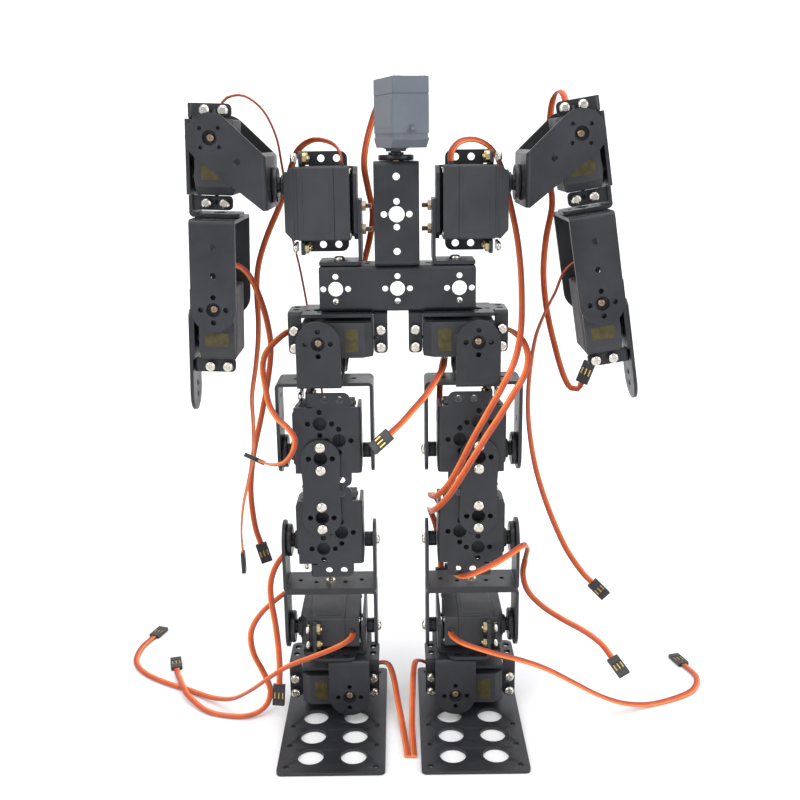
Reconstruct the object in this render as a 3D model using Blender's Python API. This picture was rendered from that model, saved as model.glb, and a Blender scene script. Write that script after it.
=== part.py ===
"""Humanoid robot kit: standard-size servos and 2 mm sheet-metal brackets.

Frame: metres, +Z up, the robot faces -Y, its own left side is +X.
Lengths inside the functions are millimetres and are scaled once, in MM.
Each servo has a local frame (u, v, w) whose origin is on the output shaft at
the case bottom: u runs along the case away from the shaft end, v across its
thickness (the bracket's base plate is on -v), w along the shaft.
"""
import math

import bmesh
import bpy
from mathutils import Matrix, Vector

MM = 0.001

# ---------------------------------------------------------------- dimensions
SHIFT_X, SHIFT_Y = -8.1, 13.0      # puts the frame origin under the box centre
SHEET = 2.0                        # bracket sheet thickness
GAP = 0.3                          # gap between pieces that touch

CASE_L, CASE_T, CASE_H = 40.7, 20.0, 36.5     # servo case
CASE_U0 = -10.1                               # shaft to near end
EAR_L, EAR_T, EAR_W0 = 54.5, 2.5, 28.3        # mounting ears
BOSS_R, BOSS_W1 = 5.75, 38.5
HORN_R, HORN_W0, HORN_W1 = 10.0, 40.2, 43.3

BR_V0, BR_V1 = -15.0, -13.0        # servo bracket base plate
BR_U0, BR_U1 = -9.7, 30.3          # its wide part
BR_W0, BR_W1 = -4.0, 35.0
TAB_U0, TAB_U1 = -18.2, 38.8       # over the end tabs
FL_W0, FL_W1 = 26.0, 28.0          # ear flanges
ARM_IN_W, ARM_OUT_W = -9.4, 43.6   # inner faces of a U bracket's arms
U_MID = (ARM_IN_W + ARM_OUT_W) / 2.0
U_WIDE, U_R = 25.0, 12.5

Z_SHOULDER, Z_ROLL, Z_ELBOW, X_ARM = 330.0, 356.0, 264.0, 98.5
SH_CASE_X = 26.0                   # shoulder servo's case bottom
BEAM_W, BEAM_Z0, BEAM_Z1 = 88.6, 259.5, 285.5
CHEST_Z0, CHEST_Z1, CHEST_Y = 285.8, 342.5, -17.0
Z_HEAD0 = CHEST_Z1 + ARM_OUT_W     # head servo's case bottom, upside down
HEAD_YAW = 16.0
X_HIP, Z_HIPROLL = 44.8, 244.2
X_LEG = 43.5
Z_HIP, Z_KNEE, Z_ANKLE = 173.7, 116.3, 58.0
Z_HIPYOKE = 218.3                  # underside of the hip roll yoke
X_FOOTROLL, Y_FOOTROLL, Z_FOOTROLL = 33.0, 10.3, 18.0
FOOT_X0, FOOT_X1, FOOT_Y0, FOOT_Y1 = 10.5, 73.5, -72.0, 46.0
LEFT_ARM_ROLL, RIGHT_ARM_ROLL = 9.0, 2.0   # the arms hang a little outward

BLACK = (0.043, 0.045, 0.052, 1.0)
PLASTIC = (0.055, 0.058, 0.066, 1.0)
LEAD = (0.75, 0.16, 0.03, 1.0)

# ------------------------------------------------------------------- helpers
for old in list(bpy.data.objects):
    bpy.data.objects.remove(old, do_unlink=True)

COLL = bpy.data.collections.new("humanoid_robot_kit")
bpy.context.scene.collection.children.link(COLL)


def material(name, colour, rough, metal):
    m = bpy.data.materials.new(name)
    m.use_nodes = True
    b = m.node_tree.nodes["Principled BSDF"]
    b.inputs["Base Color"].default_value = colour
    b.inputs["Roughness"].default_value = rough
    b.inputs["Metallic"].default_value = metal
    return m


MAT = {
    "bracket": material("bracket", BLACK, 0.45, 0.3),
    "servo": material("servo", PLASTIC, 0.55, 0.0),
    "lead": material("lead", LEAD, 0.5, 0.0),
}


def frame(o, u, v, w):
    """Matrix that takes local (a, b, c) to o + a*u + b*v + c*w."""
    m = Matrix.Identity(4)
    for i in range(3):
        m[i][0], m[i][1], m[i][2], m[i][3] = u[i], v[i], w[i], o[i]
    return m


def side_m(s):
    return Matrix.Diagonal((s, 1.0, 1.0, 1.0))


def bake(bm, m):
    """Mesh object from a bmesh in millimetres, placed by m, facing out."""
    bm.transform(m)
    bmesh.ops.recalc_face_normals(bm, faces=bm.faces)
    if bm.calc_volume(signed=True) < 0.0:
        bmesh.ops.reverse_faces(bm, faces=bm.faces)
    me = bpy.data.meshes.new("piece")
    bm.to_mesh(me)
    bm.free()
    o = bpy.data.objects.new("piece", me)
    COLL.objects.link(o)
    return o


def slab(loops, c0, c1, m):
    """Flat sheet: the first loop is its outline, the others are holes."""
    cu = bpy.data.curves.new("outline", "CURVE")
    cu.dimensions = "2D"
    cu.fill_mode = "BOTH"
    cu.extrude = (c1 - c0) / 2.0
    for loop in loops:
        sp = cu.splines.new("POLY")
        sp.points.add(len(loop) - 1)
        for p, (a, b) in zip(sp.points, loop):
            p.co = (a, b, 0.0, 1.0)
        sp.use_cyclic_u = True
    co = bpy.data.objects.new("outline", cu)
    COLL.objects.link(co)
    dg = bpy.context.evaluated_depsgraph_get()
    me = bpy.data.meshes.new_from_object(co.evaluated_get(dg))
    bm = bmesh.new()
    bm.from_mesh(me)
    bmesh.ops.remove_doubles(bm, verts=bm.verts, dist=1e-4)
    bm.transform(Matrix.Translation((0.0, 0.0, (c0 + c1) / 2.0)))
    bpy.data.objects.remove(co, do_unlink=True)
    return bake(bm, m)


def block(a, b, c, m):
    bm = bmesh.new()
    bmesh.ops.create_cube(bm, size=1.0)
    bm.transform(Matrix.Translation(((a[0] + a[1]) / 2, (b[0] + b[1]) / 2, (c[0] + c[1]) / 2))
                 @ Matrix.Diagonal((a[1] - a[0], b[1] - b[0], c[1] - c[0], 1.0)))
    return bake(bm, m)


def drum(r, c0, c1, m, n=10, at=(0.0, 0.0)):
    bm = bmesh.new()
    bmesh.ops.create_cone(bm, cap_ends=True, segments=n, radius1=r, radius2=r, depth=c1 - c0)
    bm.transform(Matrix.Translation((at[0], at[1], (c0 + c1) / 2.0)))
    return bake(bm, m)


def circle(a, b, r, n=8):
    start = 0.11 + 0.013 * a + 0.007 * b       # keeps neighbouring bores' points off one line
    return [(a + r * math.cos(start + 2 * math.pi * i / n),
             b + r * math.sin(start + 2 * math.pi * i / n)) for i in range(n)]


def rrect(a0, a1, b0, b1, r=(0, 0, 0, 0), n=2):
    """Rectangle with corner radii (a0b0, a1b0, a1b1, a0b1)."""
    out = []
    for (a, b, rr, q) in ((a0, b0, r[0], 2), (a1, b0, r[1], 3), (a1, b1, r[2], 0), (a0, b1, r[3], 1)):
        if rr <= 0:
            out.append((a, b))
            continue
        ca = a + rr if a == a0 else a - rr
        cb = b + rr if b == b0 else b - rr
        for i in range(n + 1):
            t = (q + i / n) * math.pi / 2
            out.append((ca + rr * math.cos(t), cb + rr * math.sin(t)))
    return out


def hull(points):
    pts = sorted(set((round(a, 6), round(b, 6)) for a, b in points))

    def half(seq):
        h = []
        for p in seq:
            while len(h) > 1 and ((h[-1][0] - h[-2][0]) * (p[1] - h[-2][1])
                                  - (h[-1][1] - h[-2][1]) * (p[0] - h[-2][0])) <= 1e-9:
                h.pop()
            h.append(p)
        return h[:-1]
    return half(pts) + half(reversed(pts))


def union(pieces):
    """One closed body from overlapping pieces."""
    first = pieces[0]
    for p in pieces[1:]:
        mod = first.modifiers.new("join", "BOOLEAN")
        mod.operation = "UNION"
        mod.object = p
    dg = bpy.context.evaluated_depsgraph_get()
    me = bpy.data.meshes.new_from_object(first.evaluated_get(dg))
    for p in pieces:
        bpy.data.objects.remove(p, do_unlink=True)
    bm = bmesh.new()
    bm.from_mesh(me)
    bmesh.ops.remove_doubles(bm, verts=bm.verts, dist=1e-3)
    bmesh.ops.dissolve_limit(bm, angle_limit=math.radians(0.5), verts=bm.verts, edges=bm.edges)
    bmesh.ops.triangulate(bm, faces=bm.faces)
    bm.to_mesh(me)
    bm.free()
    o = bpy.data.objects.new("piece", me)
    COLL.objects.link(o)
    return o


# ------------------------------------------------------------ bodies (rig)
BODY = {}


def body(name, pos, parent=None):
    e = bpy.data.objects.new("axis_" + name, None)
    e.empty_display_size = 0.01
    COLL.objects.link(e)
    p = Vector((pos[0] + SHIFT_X, pos[1] + SHIFT_Y, pos[2])) * MM
    base = Vector((0.0, 0.0, 0.0))
    if parent:
        e.parent = BODY[parent][0]
        base = BODY[parent][1]
    e.location = p - base
    BODY[name] = (e, p)


def put(name, o, body_name, mat):
    """Names a finished piece and hangs it on its body's joint axis."""
    e, p = BODY[body_name]
    shift = Vector((SHIFT_X, SHIFT_Y, 0.0))
    o.data.transform(Matrix.Translation(shift))
    o.data.transform(Matrix.Diagonal((MM, MM, MM, 1.0)))
    o.data.transform(Matrix.Translation(-p))
    o.name = name
    o.data.name = name
    o.data.materials.clear()
    o.data.materials.append(MAT[mat])
    o.parent = e
    return o


def place(o, m):
    """Moves a finished piece by m and keeps its faces pointing out."""
    bm = bmesh.new()
    bm.from_mesh(o.data)
    bm.transform(m)
    if m.determinant() < 0:
        bmesh.ops.reverse_faces(bm, faces=bm.faces)
    bm.to_mesh(o.data)
    bm.free()
    return o


ONE = Matrix.Identity(4)


# ------------------------------------------------------------------- pieces
def servo(m):
    return place(servo_at_origin(ONE), m)


def servo_bracket(m, turn_in=False):
    return place(bracket_at_origin(ONE, turn_in), m)


def u_bracket(m, depth):
    return place(u_at_origin(ONE, depth), m)


def servo_at_origin(m):
    """Case with chamfered gear end, mounting ears and shaft boss."""
    u0, u1 = CASE_U0, CASE_U0 + CASE_L
    ears = (CASE_L / 2 + u0) - EAR_L / 2
    # outline in the u-w plane, extruded along v
    fm = m @ frame((0, 0, 0), (1, 0, 0), (0, 0, 1), (0, 1, 0))
    case = [(u0, 0), (u1, 0), (u1, 30.8), (u1 - 5.0, CASE_H), (u0 + 5.0, CASE_H), (u0, 30.8)]
    return union([
        slab([case], -CASE_T / 2, CASE_T / 2, fm),
        block((ears, ears + EAR_L), (-10, 10), (EAR_W0, EAR_W0 + EAR_T), m),
        drum(BOSS_R, 30.0, BOSS_W1, m, 10),
    ])


def base_holes():
    """Three accessory bores and the tab holes, in (u, w)."""
    h = [circle(20.6, 20.0, 4.0), circle(0.0, 20.0, 4.0), circle(10.3, 9.0, 4.0)]
    for u in (-14.2, 34.8):
        for w in (8.0, 17.0):
            h.append(circle(u, w, 2.15, 6))
    return h


def bracket_at_origin(m, turn_in=False):
    """Multi-purpose bracket: base with tabs, two ear flanges, rear plate."""
    fb = m @ frame((0, 0, 0), (1, 0, 0), (0, 0, 1), (0, 1, 0))
    far = [(TAB_U1 - 2.5, 2.1), (TAB_U1, 4.5), (TAB_U1, FL_W1 - 0.07)]
    if turn_in:
        far = [(TAB_U1, 2.1), (TAB_U1, U_MID - 12.5), (42.7, U_MID - 12.5),
               (42.7, U_MID + 12.5), (TAB_U1, U_MID + 12.5), (TAB_U1 - 0.1, FL_W1 - 0.07)]
    out = ([(TAB_U0 + 2.5, 2.0), (BR_U0, 2.0), (BR_U0, BR_W0), (BR_U1, BR_W0), (BR_U1, 2.1)]
           + far + [(BR_U1, FL_W1 - 0.07), (BR_U1, BR_W1), (BR_U0, BR_W1), (BR_U0, FL_W1),
                    (TAB_U0, FL_W1), (TAB_U0, 4.5)])
    pieces = [slab([out] + base_holes(), BR_V0, BR_V1, fb)]
    # ear flanges, in (u, v), thickness along w; they start inside the base
    for a0, a1 in ((TAB_U0 + 0.1, -10.5), (31.0, TAB_U1 - 0.1)):
        pieces.append(slab([rrect(a0, a1, BR_V0 + 0.8, 9.0, (0, 0, 2.5, 2.5), 1)],
                           FL_W0, FL_W1 - 0.1, m))
    # rear plate with the pivot bore
    pieces.append(slab([rrect(BR_U0 + 0.1, BR_U1 - 0.1, BR_V0 + 0.8, 9.0, (0, 0, 4, 4), 1),
                        circle(0, 0, 2.0, 6)], BR_W0 + 0.1, BR_W0 + SHEET, m))
    if turn_in:
        # the base runs on past the far tab and turns in under the servo
        fi = m @ frame((0, 0, 0), (0, 1, 0), (0, 0, 1), (1, 0, 0))
        pieces.append(slab([rrect(BR_V0 + 0.8, 12.5, U_MID - 12.4, U_MID + 12.4, (0, 3, 3, 0), 1),
                            circle(0, U_MID, 4.0)], 40.7, 42.6, fi))
    return union(pieces)


def u_at_origin(m, depth, horn=True, c_off=0.0, base_hole=True):
    """U bracket in (a, b, c): a across the arms with 0 between them, b from
    the axis to the base, c across the sheet. Horn disc on +a, pivot on -a."""
    half = (ARM_OUT_W - ARM_IN_W) / 2.0
    pieces = []
    fb = m @ frame((0, 0, 0), (1, 0, 0), (0, 0, 1), (0, 1, 0))       # (a, c | b)
    loops = [rrect(-half - SHEET, half + SHEET, -U_WIDE / 2 + c_off, U_WIDE / 2 + c_off)]
    if base_hole:
        loops.append(circle(0, c_off, 4.0))
    pieces.append(slab(loops, depth - SHEET, depth, fb))
    fa = m @ frame((0, 0, 0), (0, 0, 1), (0, 1, 0), (1, 0, 0))       # (c, b | a)
    arm = [(U_R * math.cos(t), U_R * math.sin(t)) for t in
           [math.pi + math.pi * i / 7 for i in range(8)]]
    arm += [(U_R, depth), (-U_R, depth)]
    for a0 in (-half - SHEET, half):
        pieces.append(slab([arm, circle(0, 0, 2.2 if a0 < 0 else 4.0, 8 if a0 > 0 else 6)],
                           a0, a0 + SHEET, fa))
    o = union(pieces)
    if horn:
        o = union([o, drum(HORN_R, half - (ARM_OUT_W - HORN_W0), half + 0.5, fa, 12)])
        o = union([o, drum(4.5, -half - 0.5, -half + 5.1, fa, 8)])
    return o


def shin_at_origin(m, length):
    """The two shin U brackets, bolted base to base: b runs from the ankle
    axis (0) up to the knee axis (length)."""
    half = (ARM_OUT_W - ARM_IN_W) / 2.0
    mid = length / 2.0
    fb = m @ frame((0, 0, 0), (1, 0, 0), (0, 0, 1), (0, 1, 0))
    fa = m @ frame((0, 0, 0), (0, 0, 1), (0, 1, 0), (1, 0, 0))
    arm = [(U_R * math.cos(t), U_R * math.sin(t)) for t in
           [math.pi + math.pi * i / 7 for i in range(8)]]
    arm += [(U_R * math.cos(t), length + U_R * math.sin(t)) for t in
            [math.pi * i / 7 for i in range(8)]]
    pieces = [slab([rrect(-half - 1.0, half + 1.0, -U_WIDE / 2 + 0.1, U_WIDE / 2 - 0.1),
                    circle(-14, 0, 1.8, 6), circle(14, 0, 1.8, 6)],
                   mid - SHEET, mid + SHEET, fb)]
    for a0 in (-half - SHEET, half):
        r = 2.2 if a0 < 0 else 4.0
        pieces.append(slab([arm, circle(0, 0, r, 8), circle(0.02, length, r, 8)], a0, a0 + SHEET, fa))
    o = union(pieces)
    for at in ((0, 0), (0, length)):
        o = union([o, drum(HORN_R, half - (ARM_OUT_W - HORN_W0), half + 0.5, fa, 12, at)])
        o = union([o, drum(4.5, -half - 0.5, -half + 5.1, fa, 8, at)])
    return o


def lead_path(points, step):
    """Smooth curve through the given points, sampled about every step."""
    p = [Vector(q) for q in points]
    p = [p[0] * 2 - p[1]] + p + [p[-1] * 2 - p[-2]]
    out = []
    for i in range(1, len(p) - 2):
        n = max(1, int(round((p[i + 1] - p[i]).length / step)))
        for k in range(n):
            t = k / n
            out.append(0.5 * ((2 * p[i]) + (p[i + 1] - p[i - 1]) * t
                              + (2 * p[i - 1] - 5 * p[i] + 4 * p[i + 1] - p[i + 2]) * t * t
                              + (3 * p[i] - p[i - 1] - 3 * p[i + 1] + p[i + 2]) * t ** 3))
    out.append(p[-2])
    return out


def lead(points, r=1.3, step=9.0):
    """Servo lead as a plain tube with its three-way plug's body at the end."""
    path = lead_path(points, step)
    cu = bpy.data.curves.new("lead", "CURVE")
    cu.dimensions = "3D"
    cu.bevel_depth = r
    cu.bevel_resolution = 2
    cu.use_fill_caps = True
    sp = cu.splines.new("POLY")
    sp.points.add(len(path) - 1)
    for q, v in zip(sp.points, path):
        q.co = (v.x, v.y, v.z, 1.0)
    co = bpy.data.objects.new("lead", cu)
    COLL.objects.link(co)
    dg = bpy.context.evaluated_depsgraph_get()
    me = bpy.data.meshes.new_from_object(co.evaluated_get(dg))
    bm = bmesh.new()
    bm.from_mesh(me)
    bmesh.ops.remove_doubles(bm, verts=bm.verts, dist=1e-4)
    bpy.data.objects.remove(co, do_unlink=True)
    tube = bake(bm, ONE)
    d = (path[-1] - path[-2]).normalized()
    side = d.cross(Vector((0, 0, 1)))
    side = side.normalized() if side.length > 0.2 else Vector((1, 0, 0))
    up = side.cross(d)
    pm = frame(path[-1], d, side, up)
    return union([tube, block((-1.0, 13.0), (-3.8, 3.8), (-1.3, 1.3), pm)])


# ------------------------------------------------------------------- build
body("torso", (0, 0, 0))
beam_m = Matrix.Identity(4)
fz = frame((0, 0, 0), (1, 0, 0), (0, 0, 1), (0, 1, 0))               # (x, z | y)
holes = []
for hx in (-35.0, 0.0, 35.0):
    holes.append(circle(hx, 272.5, 4.4, 10))
    for da, db in ((7, 0), (-7, 0), (0, 7), (0, -7)):
        holes.append(circle(hx + da, 272.5 + db, 1.8, 6))
hb = BEAM_W / 2
beam = union([
    slab([rrect(-hb, hb, BEAM_Z0, BEAM_Z1, (2, 2, 2, 2), 1)] + holes, -12.5, -10.5, fz),
    block((-hb + 2, hb - 2), (-12.5, 12.5), (BEAM_Z1 - 2, BEAM_Z1), beam_m),
    block((-hb + 2, hb - 2), (-12.5, 12.5), (BEAM_Z0, BEAM_Z0 + 2), beam_m),
])
put("waist_beam", beam, "torso", "bracket")

zc = (CHEST_Z0 + CHEST_Z1) / 2
holes = [circle(0, zc, 4.4, 10), circle(0, CHEST_Z1 - 8, 2, 6), circle(0, CHEST_Z0 + 8, 2, 6)]
for da, db in ((7, 0), (-7, 0), (0, 7), (0, -7)):
    holes.append(circle(da, zc + db, 1.8, 6))
fxy = Matrix.Identity(4)
tongue = [(-12.5, CHEST_Y), (12.5, CHEST_Y)] + [
    (12.5 * math.cos(math.pi * i / 7), 12.5 * math.sin(math.pi * i / 7)) for i in range(8)]
chest = union([
    slab([rrect(-12.5, 12.5, CHEST_Z0, CHEST_Z1)] + holes, CHEST_Y, CHEST_Y + 2, fz),
    slab([tongue], CHEST_Z1 - 2, CHEST_Z1, fxy),
    slab([tongue, circle(0, 0, 2, 6)], CHEST_Z0, CHEST_Z0 + 2, fxy),
])
chest = union([chest, drum(HORN_R, CHEST_Z1 - 1, CHEST_Z1 + 3.4, fxy, 12)])
put("chest_bracket", chest, "torso", "bracket")

body("head", (0, 0, 345.0), "torso")
ya = math.radians(HEAD_YAW)
fwd = (math.sin(ya), -math.cos(ya), 0.0)
lat = (math.cos(ya), math.sin(ya), 0.0)
put("head_servo", servo(frame((0, 0, Z_HEAD0), fwd, lat, (0, 0, -1))), "head", "servo")

for side, s in (("left", 1.0), ("right", -1.0)):
    S = side_m(s)
    n = side + "_"
    # shoulder angle bracket on the beam, and the shoulder servo beside it
    ang = union([
        block((19.7, 44.0), (-12.0, 12.0), (285.8, 287.8), S),
        block((19.7, 21.7), (-12.0, 12.0), (285.8, 322.0), S),
    ])
    put(n + "shoulder_angle", ang, "torso", "bracket")
    m = S @ frame((SH_CASE_X, 0, Z_SHOULDER), (0, 0, -1), (0, -1, 0), (1, 0, 0))
    put(n + "shoulder_servo", servo(m), "torso", "servo")
    put(n + "shoulder_servo_bracket", servo_bracket(m), "torso", "bracket")
    # hip roll servo under the beam
    m = S @ frame((X_HIP, U_MID, Z_HIPROLL), (-1, 0, 0), (0, 0, -1), (0, -1, 0))
    put(n + "hip_roll_servo", servo(m), "torso", "servo")
    put(n + "hip_roll_servo_bracket", servo_bracket(m), "torso", "bracket")

    # ---- arm
    body(n + "shoulder", (s * 69.0, 0, Z_SHOULDER), "torso")
    fa = S @ fz
    eye = circle(X_ARM, Z_ROLL, 13.0, 20)
    web = hull(eye + [(69.6, Z_SHOULDER - 12.5), (69.6, Z_SHOULDER + 12.5),
                      (71.6, Z_SHOULDER - 12.5), (71.6, Z_SHOULDER + 12.5)])
    fx = S @ frame((0, 0, 0), (0, 1, 0), (0, 0, 1), (1, 0, 0))        # (y, z | x)
    yoke = union([
        slab([rrect(-28.5, 28.5, Z_SHOULDER - 12.5, Z_SHOULDER + 12.5)], 69.6, 71.6, fx),
        slab([web, circle(X_ARM, Z_ROLL, 4.0)], -28.5, -26.5, fa),
        slab([web, circle(X_ARM, Z_ROLL, 2.2, 6)], 26.5, 28.5, fa),
    ])
    yoke = union([yoke, drum(HORN_R, 66.2, 70.5, fx, 12, (0, Z_SHOULDER))])
    fr = S @ frame((X_ARM, U_MID, Z_ROLL), (0, 0, -1), (-1, 0, 0), (0, -1, 0))
    yoke = union([yoke, drum(HORN_R, HORN_W0, ARM_OUT_W + 0.5, fr, 12)])
    yoke = union([yoke, drum(4.5, ARM_IN_W - 0.5, ARM_IN_W + 5.1, fr, 8)])
    put(n + "shoulder_yoke", yoke, n + "shoulder", "bracket")

    roll = math.radians(-LEFT_ARM_ROLL if s > 0 else RIGHT_ARM_ROLL)
    pivot = Vector((s * X_ARM, 0, Z_ROLL))
    R = Matrix.Translation(pivot) @ Matrix.Rotation(roll, 4, "Y") @ Matrix.Translation(-pivot)
    body(n + "upper_arm", pivot, n + "shoulder")
    m = R @ fr
    put(n + "upper_arm_servo", servo(m), n + "upper_arm", "servo")
    put(n + "upper_arm_servo_bracket", servo_bracket(m, turn_in=True), n + "upper_arm", "bracket")
    m = R @ S @ frame((X_ARM, 0, Z_ELBOW), (0, -1, 0), (0, 0, 1), (-1, 0, 0))
    put(n + "elbow_yoke", u_bracket(m, 49.0), n + "upper_arm", "bracket")
    elbow = R @ Vector((s * X_ARM, 0, Z_ELBOW))
    body(n + "forearm", elbow, n + "upper_arm")
    m = R @ S @ frame((X_ARM, U_MID, Z_ELBOW), (0, 0, -1), (-1, 0, 0), (0, -1, 0))
    put(n + "elbow_servo", servo(m), n + "forearm", "servo")
    put(n + "elbow_servo_bracket", servo_bracket(m), n + "forearm", "bracket")
    fx = R @ S @ frame((0, 0, 0), (0, 1, 0), (0, 0, 1), (1, 0, 0))
    tip = [(12.5 * math.cos(t), 212.5 + 12.5 * math.sin(t)) for t in
           [math.pi + math.pi * i / 8 for i in range(9)]]
    blade = slab([tip + [(12.5, 258.0), (9.5, 261.0), (-9.5, 261.0), (-12.5, 258.0)],
                  circle(0, 209.0, 1.8, 6)], X_ARM + 15.3, X_ARM + 17.3, fx)
    put(n + "hand_blade", blade, n + "forearm", "bracket")

    # ---- leg
    body(n + "hip", (s * X_HIP, 0, Z_HIPROLL), "torso")
    m = S @ frame((X_HIP, 0, Z_HIPROLL), (0, -1, 0), (0, 0, -1), (-1, 0, 0))
    put(n + "hip_roll_yoke", u_bracket(m, Z_HIPROLL - Z_HIPYOKE), n + "hip", "bracket")
    m = S @ frame((X_LEG, 0, Z_HIP), (1, 0, 0), (0, 0, 1), (0, 1, 0))
    put(n + "thigh_yoke", u_bracket(m, Z_HIPYOKE - GAP - Z_HIP), n + "hip", "bracket")

    x0 = X_LEG - U_MID
    body(n + "thigh", (s * X_LEG, 0, Z_HIP), n + "hip")
    m = S @ frame((x0, 0, Z_HIP), (0, 0, 1), (0, 1, 0), (1, 0, 0))
    put(n + "hip_pitch_servo", servo(m), n + "thigh", "servo")
    put(n + "hip_pitch_servo_bracket", servo_bracket(m), n + "thigh", "bracket")
    m = S @ frame((x0, 0, Z_KNEE), (0, 0, 1), (0, 1, 0), (1, 0, 0))
    put(n + "knee_servo", servo(m), n + "thigh", "servo")
    put(n + "knee_servo_bracket", servo_bracket(m), n + "thigh", "bracket")
    xl, zt, zb = x0 + 20.0, Z_HIP, Z_KNEE + 20.6
    bone = [(xl + 11.5 * math.cos(t), zb + 11.5 * math.sin(t)) for t in
            [math.pi + math.pi * i / 7 for i in range(8)]]
    bone += [(xl + 10.9, (zt + zb) / 2)]
    bone += [(xl + 11.5 * math.cos(t), zt + 11.5 * math.sin(t)) for t in
             [math.pi * i / 7 for i in range(8)]]
    bone += [(xl - 10.9, (zt + zb) / 2)]
    put(n + "thigh_link", slab([bone, circle(xl, zb, 4.0), circle(xl, zt, 4.0)],
                               BR_V0 - GAP - 2, BR_V0 - GAP, S @ fz), n + "thigh", "bracket")

    body(n + "shin", (s * X_LEG, 0, Z_KNEE), n + "thigh")
    m = S @ frame((X_LEG, 0, Z_ANKLE), (1, 0, 0), (0, 0, 1), (0, 1, 0))
    put(n + "shin_double_yoke", place(shin_at_origin(ONE, Z_KNEE - Z_ANKLE), m), n + "shin", "bracket")

    body(n + "ankle", (s * X_LEG, 0, Z_ANKLE), n + "shin")
    m = S @ frame((x0, 0, Z_ANKLE), (0, 1, 0), (0, 0, 1), (1, 0, 0))
    put(n + "ankle_pitch_servo", servo(m), n + "ankle", "servo")
    put(n + "ankle_pitch_servo_bracket", servo_bracket(m), n + "ankle", "bracket")
    m = S @ frame((X_FOOTROLL, Y_FOOTROLL, Z_FOOTROLL), (0, -1, 0), (0, 0, 1), (-1, 0, 0))
    put(n + "ankle_roll_yoke", u_bracket(m, Z_ANKLE - 15.0 - GAP - Z_FOOTROLL), n + "ankle", "bracket")

    body(n + "foot", (s * X_FOOTROLL, Y_FOOTROLL, Z_FOOTROLL), n + "ankle")
    m = S @ frame((X_FOOTROLL, Y_FOOTROLL + U_MID, Z_FOOTROLL), (1, 0, 0), (0, 0, -1), (0, -1, 0))
    put(n + "foot_servo", servo(m), n + "foot", "servo")
    put(n + "foot_servo_bracket", servo_bracket(m), n + "foot", "bracket")
    yr = Y_FOOTROLL + U_MID + 4.0 + GAP
    heel = union([
        block((40.0, 62.0), (yr, yr + 2.0), (2.0 + GAP, 27.0), S),
        block((40.0, 62.0), (8.0, yr + 2.0), (2.0 + GAP, 4.0 + GAP), S),
    ])
    put(n + "foot_angle", heel, n + "foot", "bracket")
    holes = []
    for hx in (29.3, 54.7):
        for hy in (-56.0, -35.0, -14.0):
            holes.append(circle(hx, hy, 7.75, 12))
    sole = slab([rrect(FOOT_X0, FOOT_X1, FOOT_Y0, FOOT_Y1, (3, 3, 3, 3), 1)] + holes,
                0.0, 2.0, S)
    put(n + "foot_plate", sole, n + "foot", "bracket")

# ---- free servo leads, each with its three-way plug
LEADS = {
    "right_elbow_lead": ("right_forearm", [
        (-101.4, 13, 274.6), (-101.2, 13, 279), (-96, 14.5, 284), (-88, 19, 277), (-82.5, 27, 259),
        (-80.5, 38, 241), (-81, 47.5, 225), (-84.5, 52, 204), (-90, 53, 180), (-96, 52.5, 155),
        (-99, 52, 130), (-97.5, 52, 106), (-94, 52, 92)]),
    "right_ankle_lead": ("right_ankle", [
        (-30.4, -10.5, 58), (-31, -16, 58), (-36, -22.5, 57), (-46, -26, 54), (-58, -27.5, 50),
        (-70, -27.5, 45), (-82, -25, 36), (-94, -18, 24), (-108, -6, 11), (-124, 8, 3.4),
        (-142, 21, 1.8), (-160, 31, 1.8), (-177, 44, 1.8), (-187, 60, 1.8), (-188, 80, 1.8),
        (-183, 97, 1.8)]),
    "left_ankle_lead": ("left_ankle", [
        (30.4, -10.5, 58), (31, -16, 58), (37, -23, 57), (48, -27.5, 55), (60, -29.5, 52),
        (73, -29, 48), (88, -27, 41), (105, -24, 30), (123, -18, 17), (141, -10, 6.5),
        (159, -3, 1.8), (177, 4, 1.8), (191, 14, 1.8), (198, 30, 1.8), (194, 47, 1.8)]),
}
for name, (on, pts) in LEADS.items():
    put(name, lead(pts), on, "lead")
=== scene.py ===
"""Humanoid robot kit, the looks: detailed brackets, servos, screws and leads
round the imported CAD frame."""
import math
import random

import bmesh
import bpy
from mathutils import Matrix, Vector


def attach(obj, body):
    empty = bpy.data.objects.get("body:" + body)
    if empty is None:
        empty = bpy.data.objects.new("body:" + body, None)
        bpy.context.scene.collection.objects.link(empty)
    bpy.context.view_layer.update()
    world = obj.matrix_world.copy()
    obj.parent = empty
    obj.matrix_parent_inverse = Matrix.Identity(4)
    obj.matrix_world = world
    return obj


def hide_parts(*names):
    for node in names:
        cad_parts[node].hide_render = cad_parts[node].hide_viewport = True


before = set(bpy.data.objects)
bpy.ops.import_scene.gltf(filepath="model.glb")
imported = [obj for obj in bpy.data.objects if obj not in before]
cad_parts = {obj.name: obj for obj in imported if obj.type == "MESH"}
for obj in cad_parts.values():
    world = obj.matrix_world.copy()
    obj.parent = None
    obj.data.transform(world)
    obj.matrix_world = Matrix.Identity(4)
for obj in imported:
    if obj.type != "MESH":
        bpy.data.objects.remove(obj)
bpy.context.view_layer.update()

random.seed(7)
MM = 0.001
SHIFT = Vector((-8.1, 13.0, 0.0))

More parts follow.
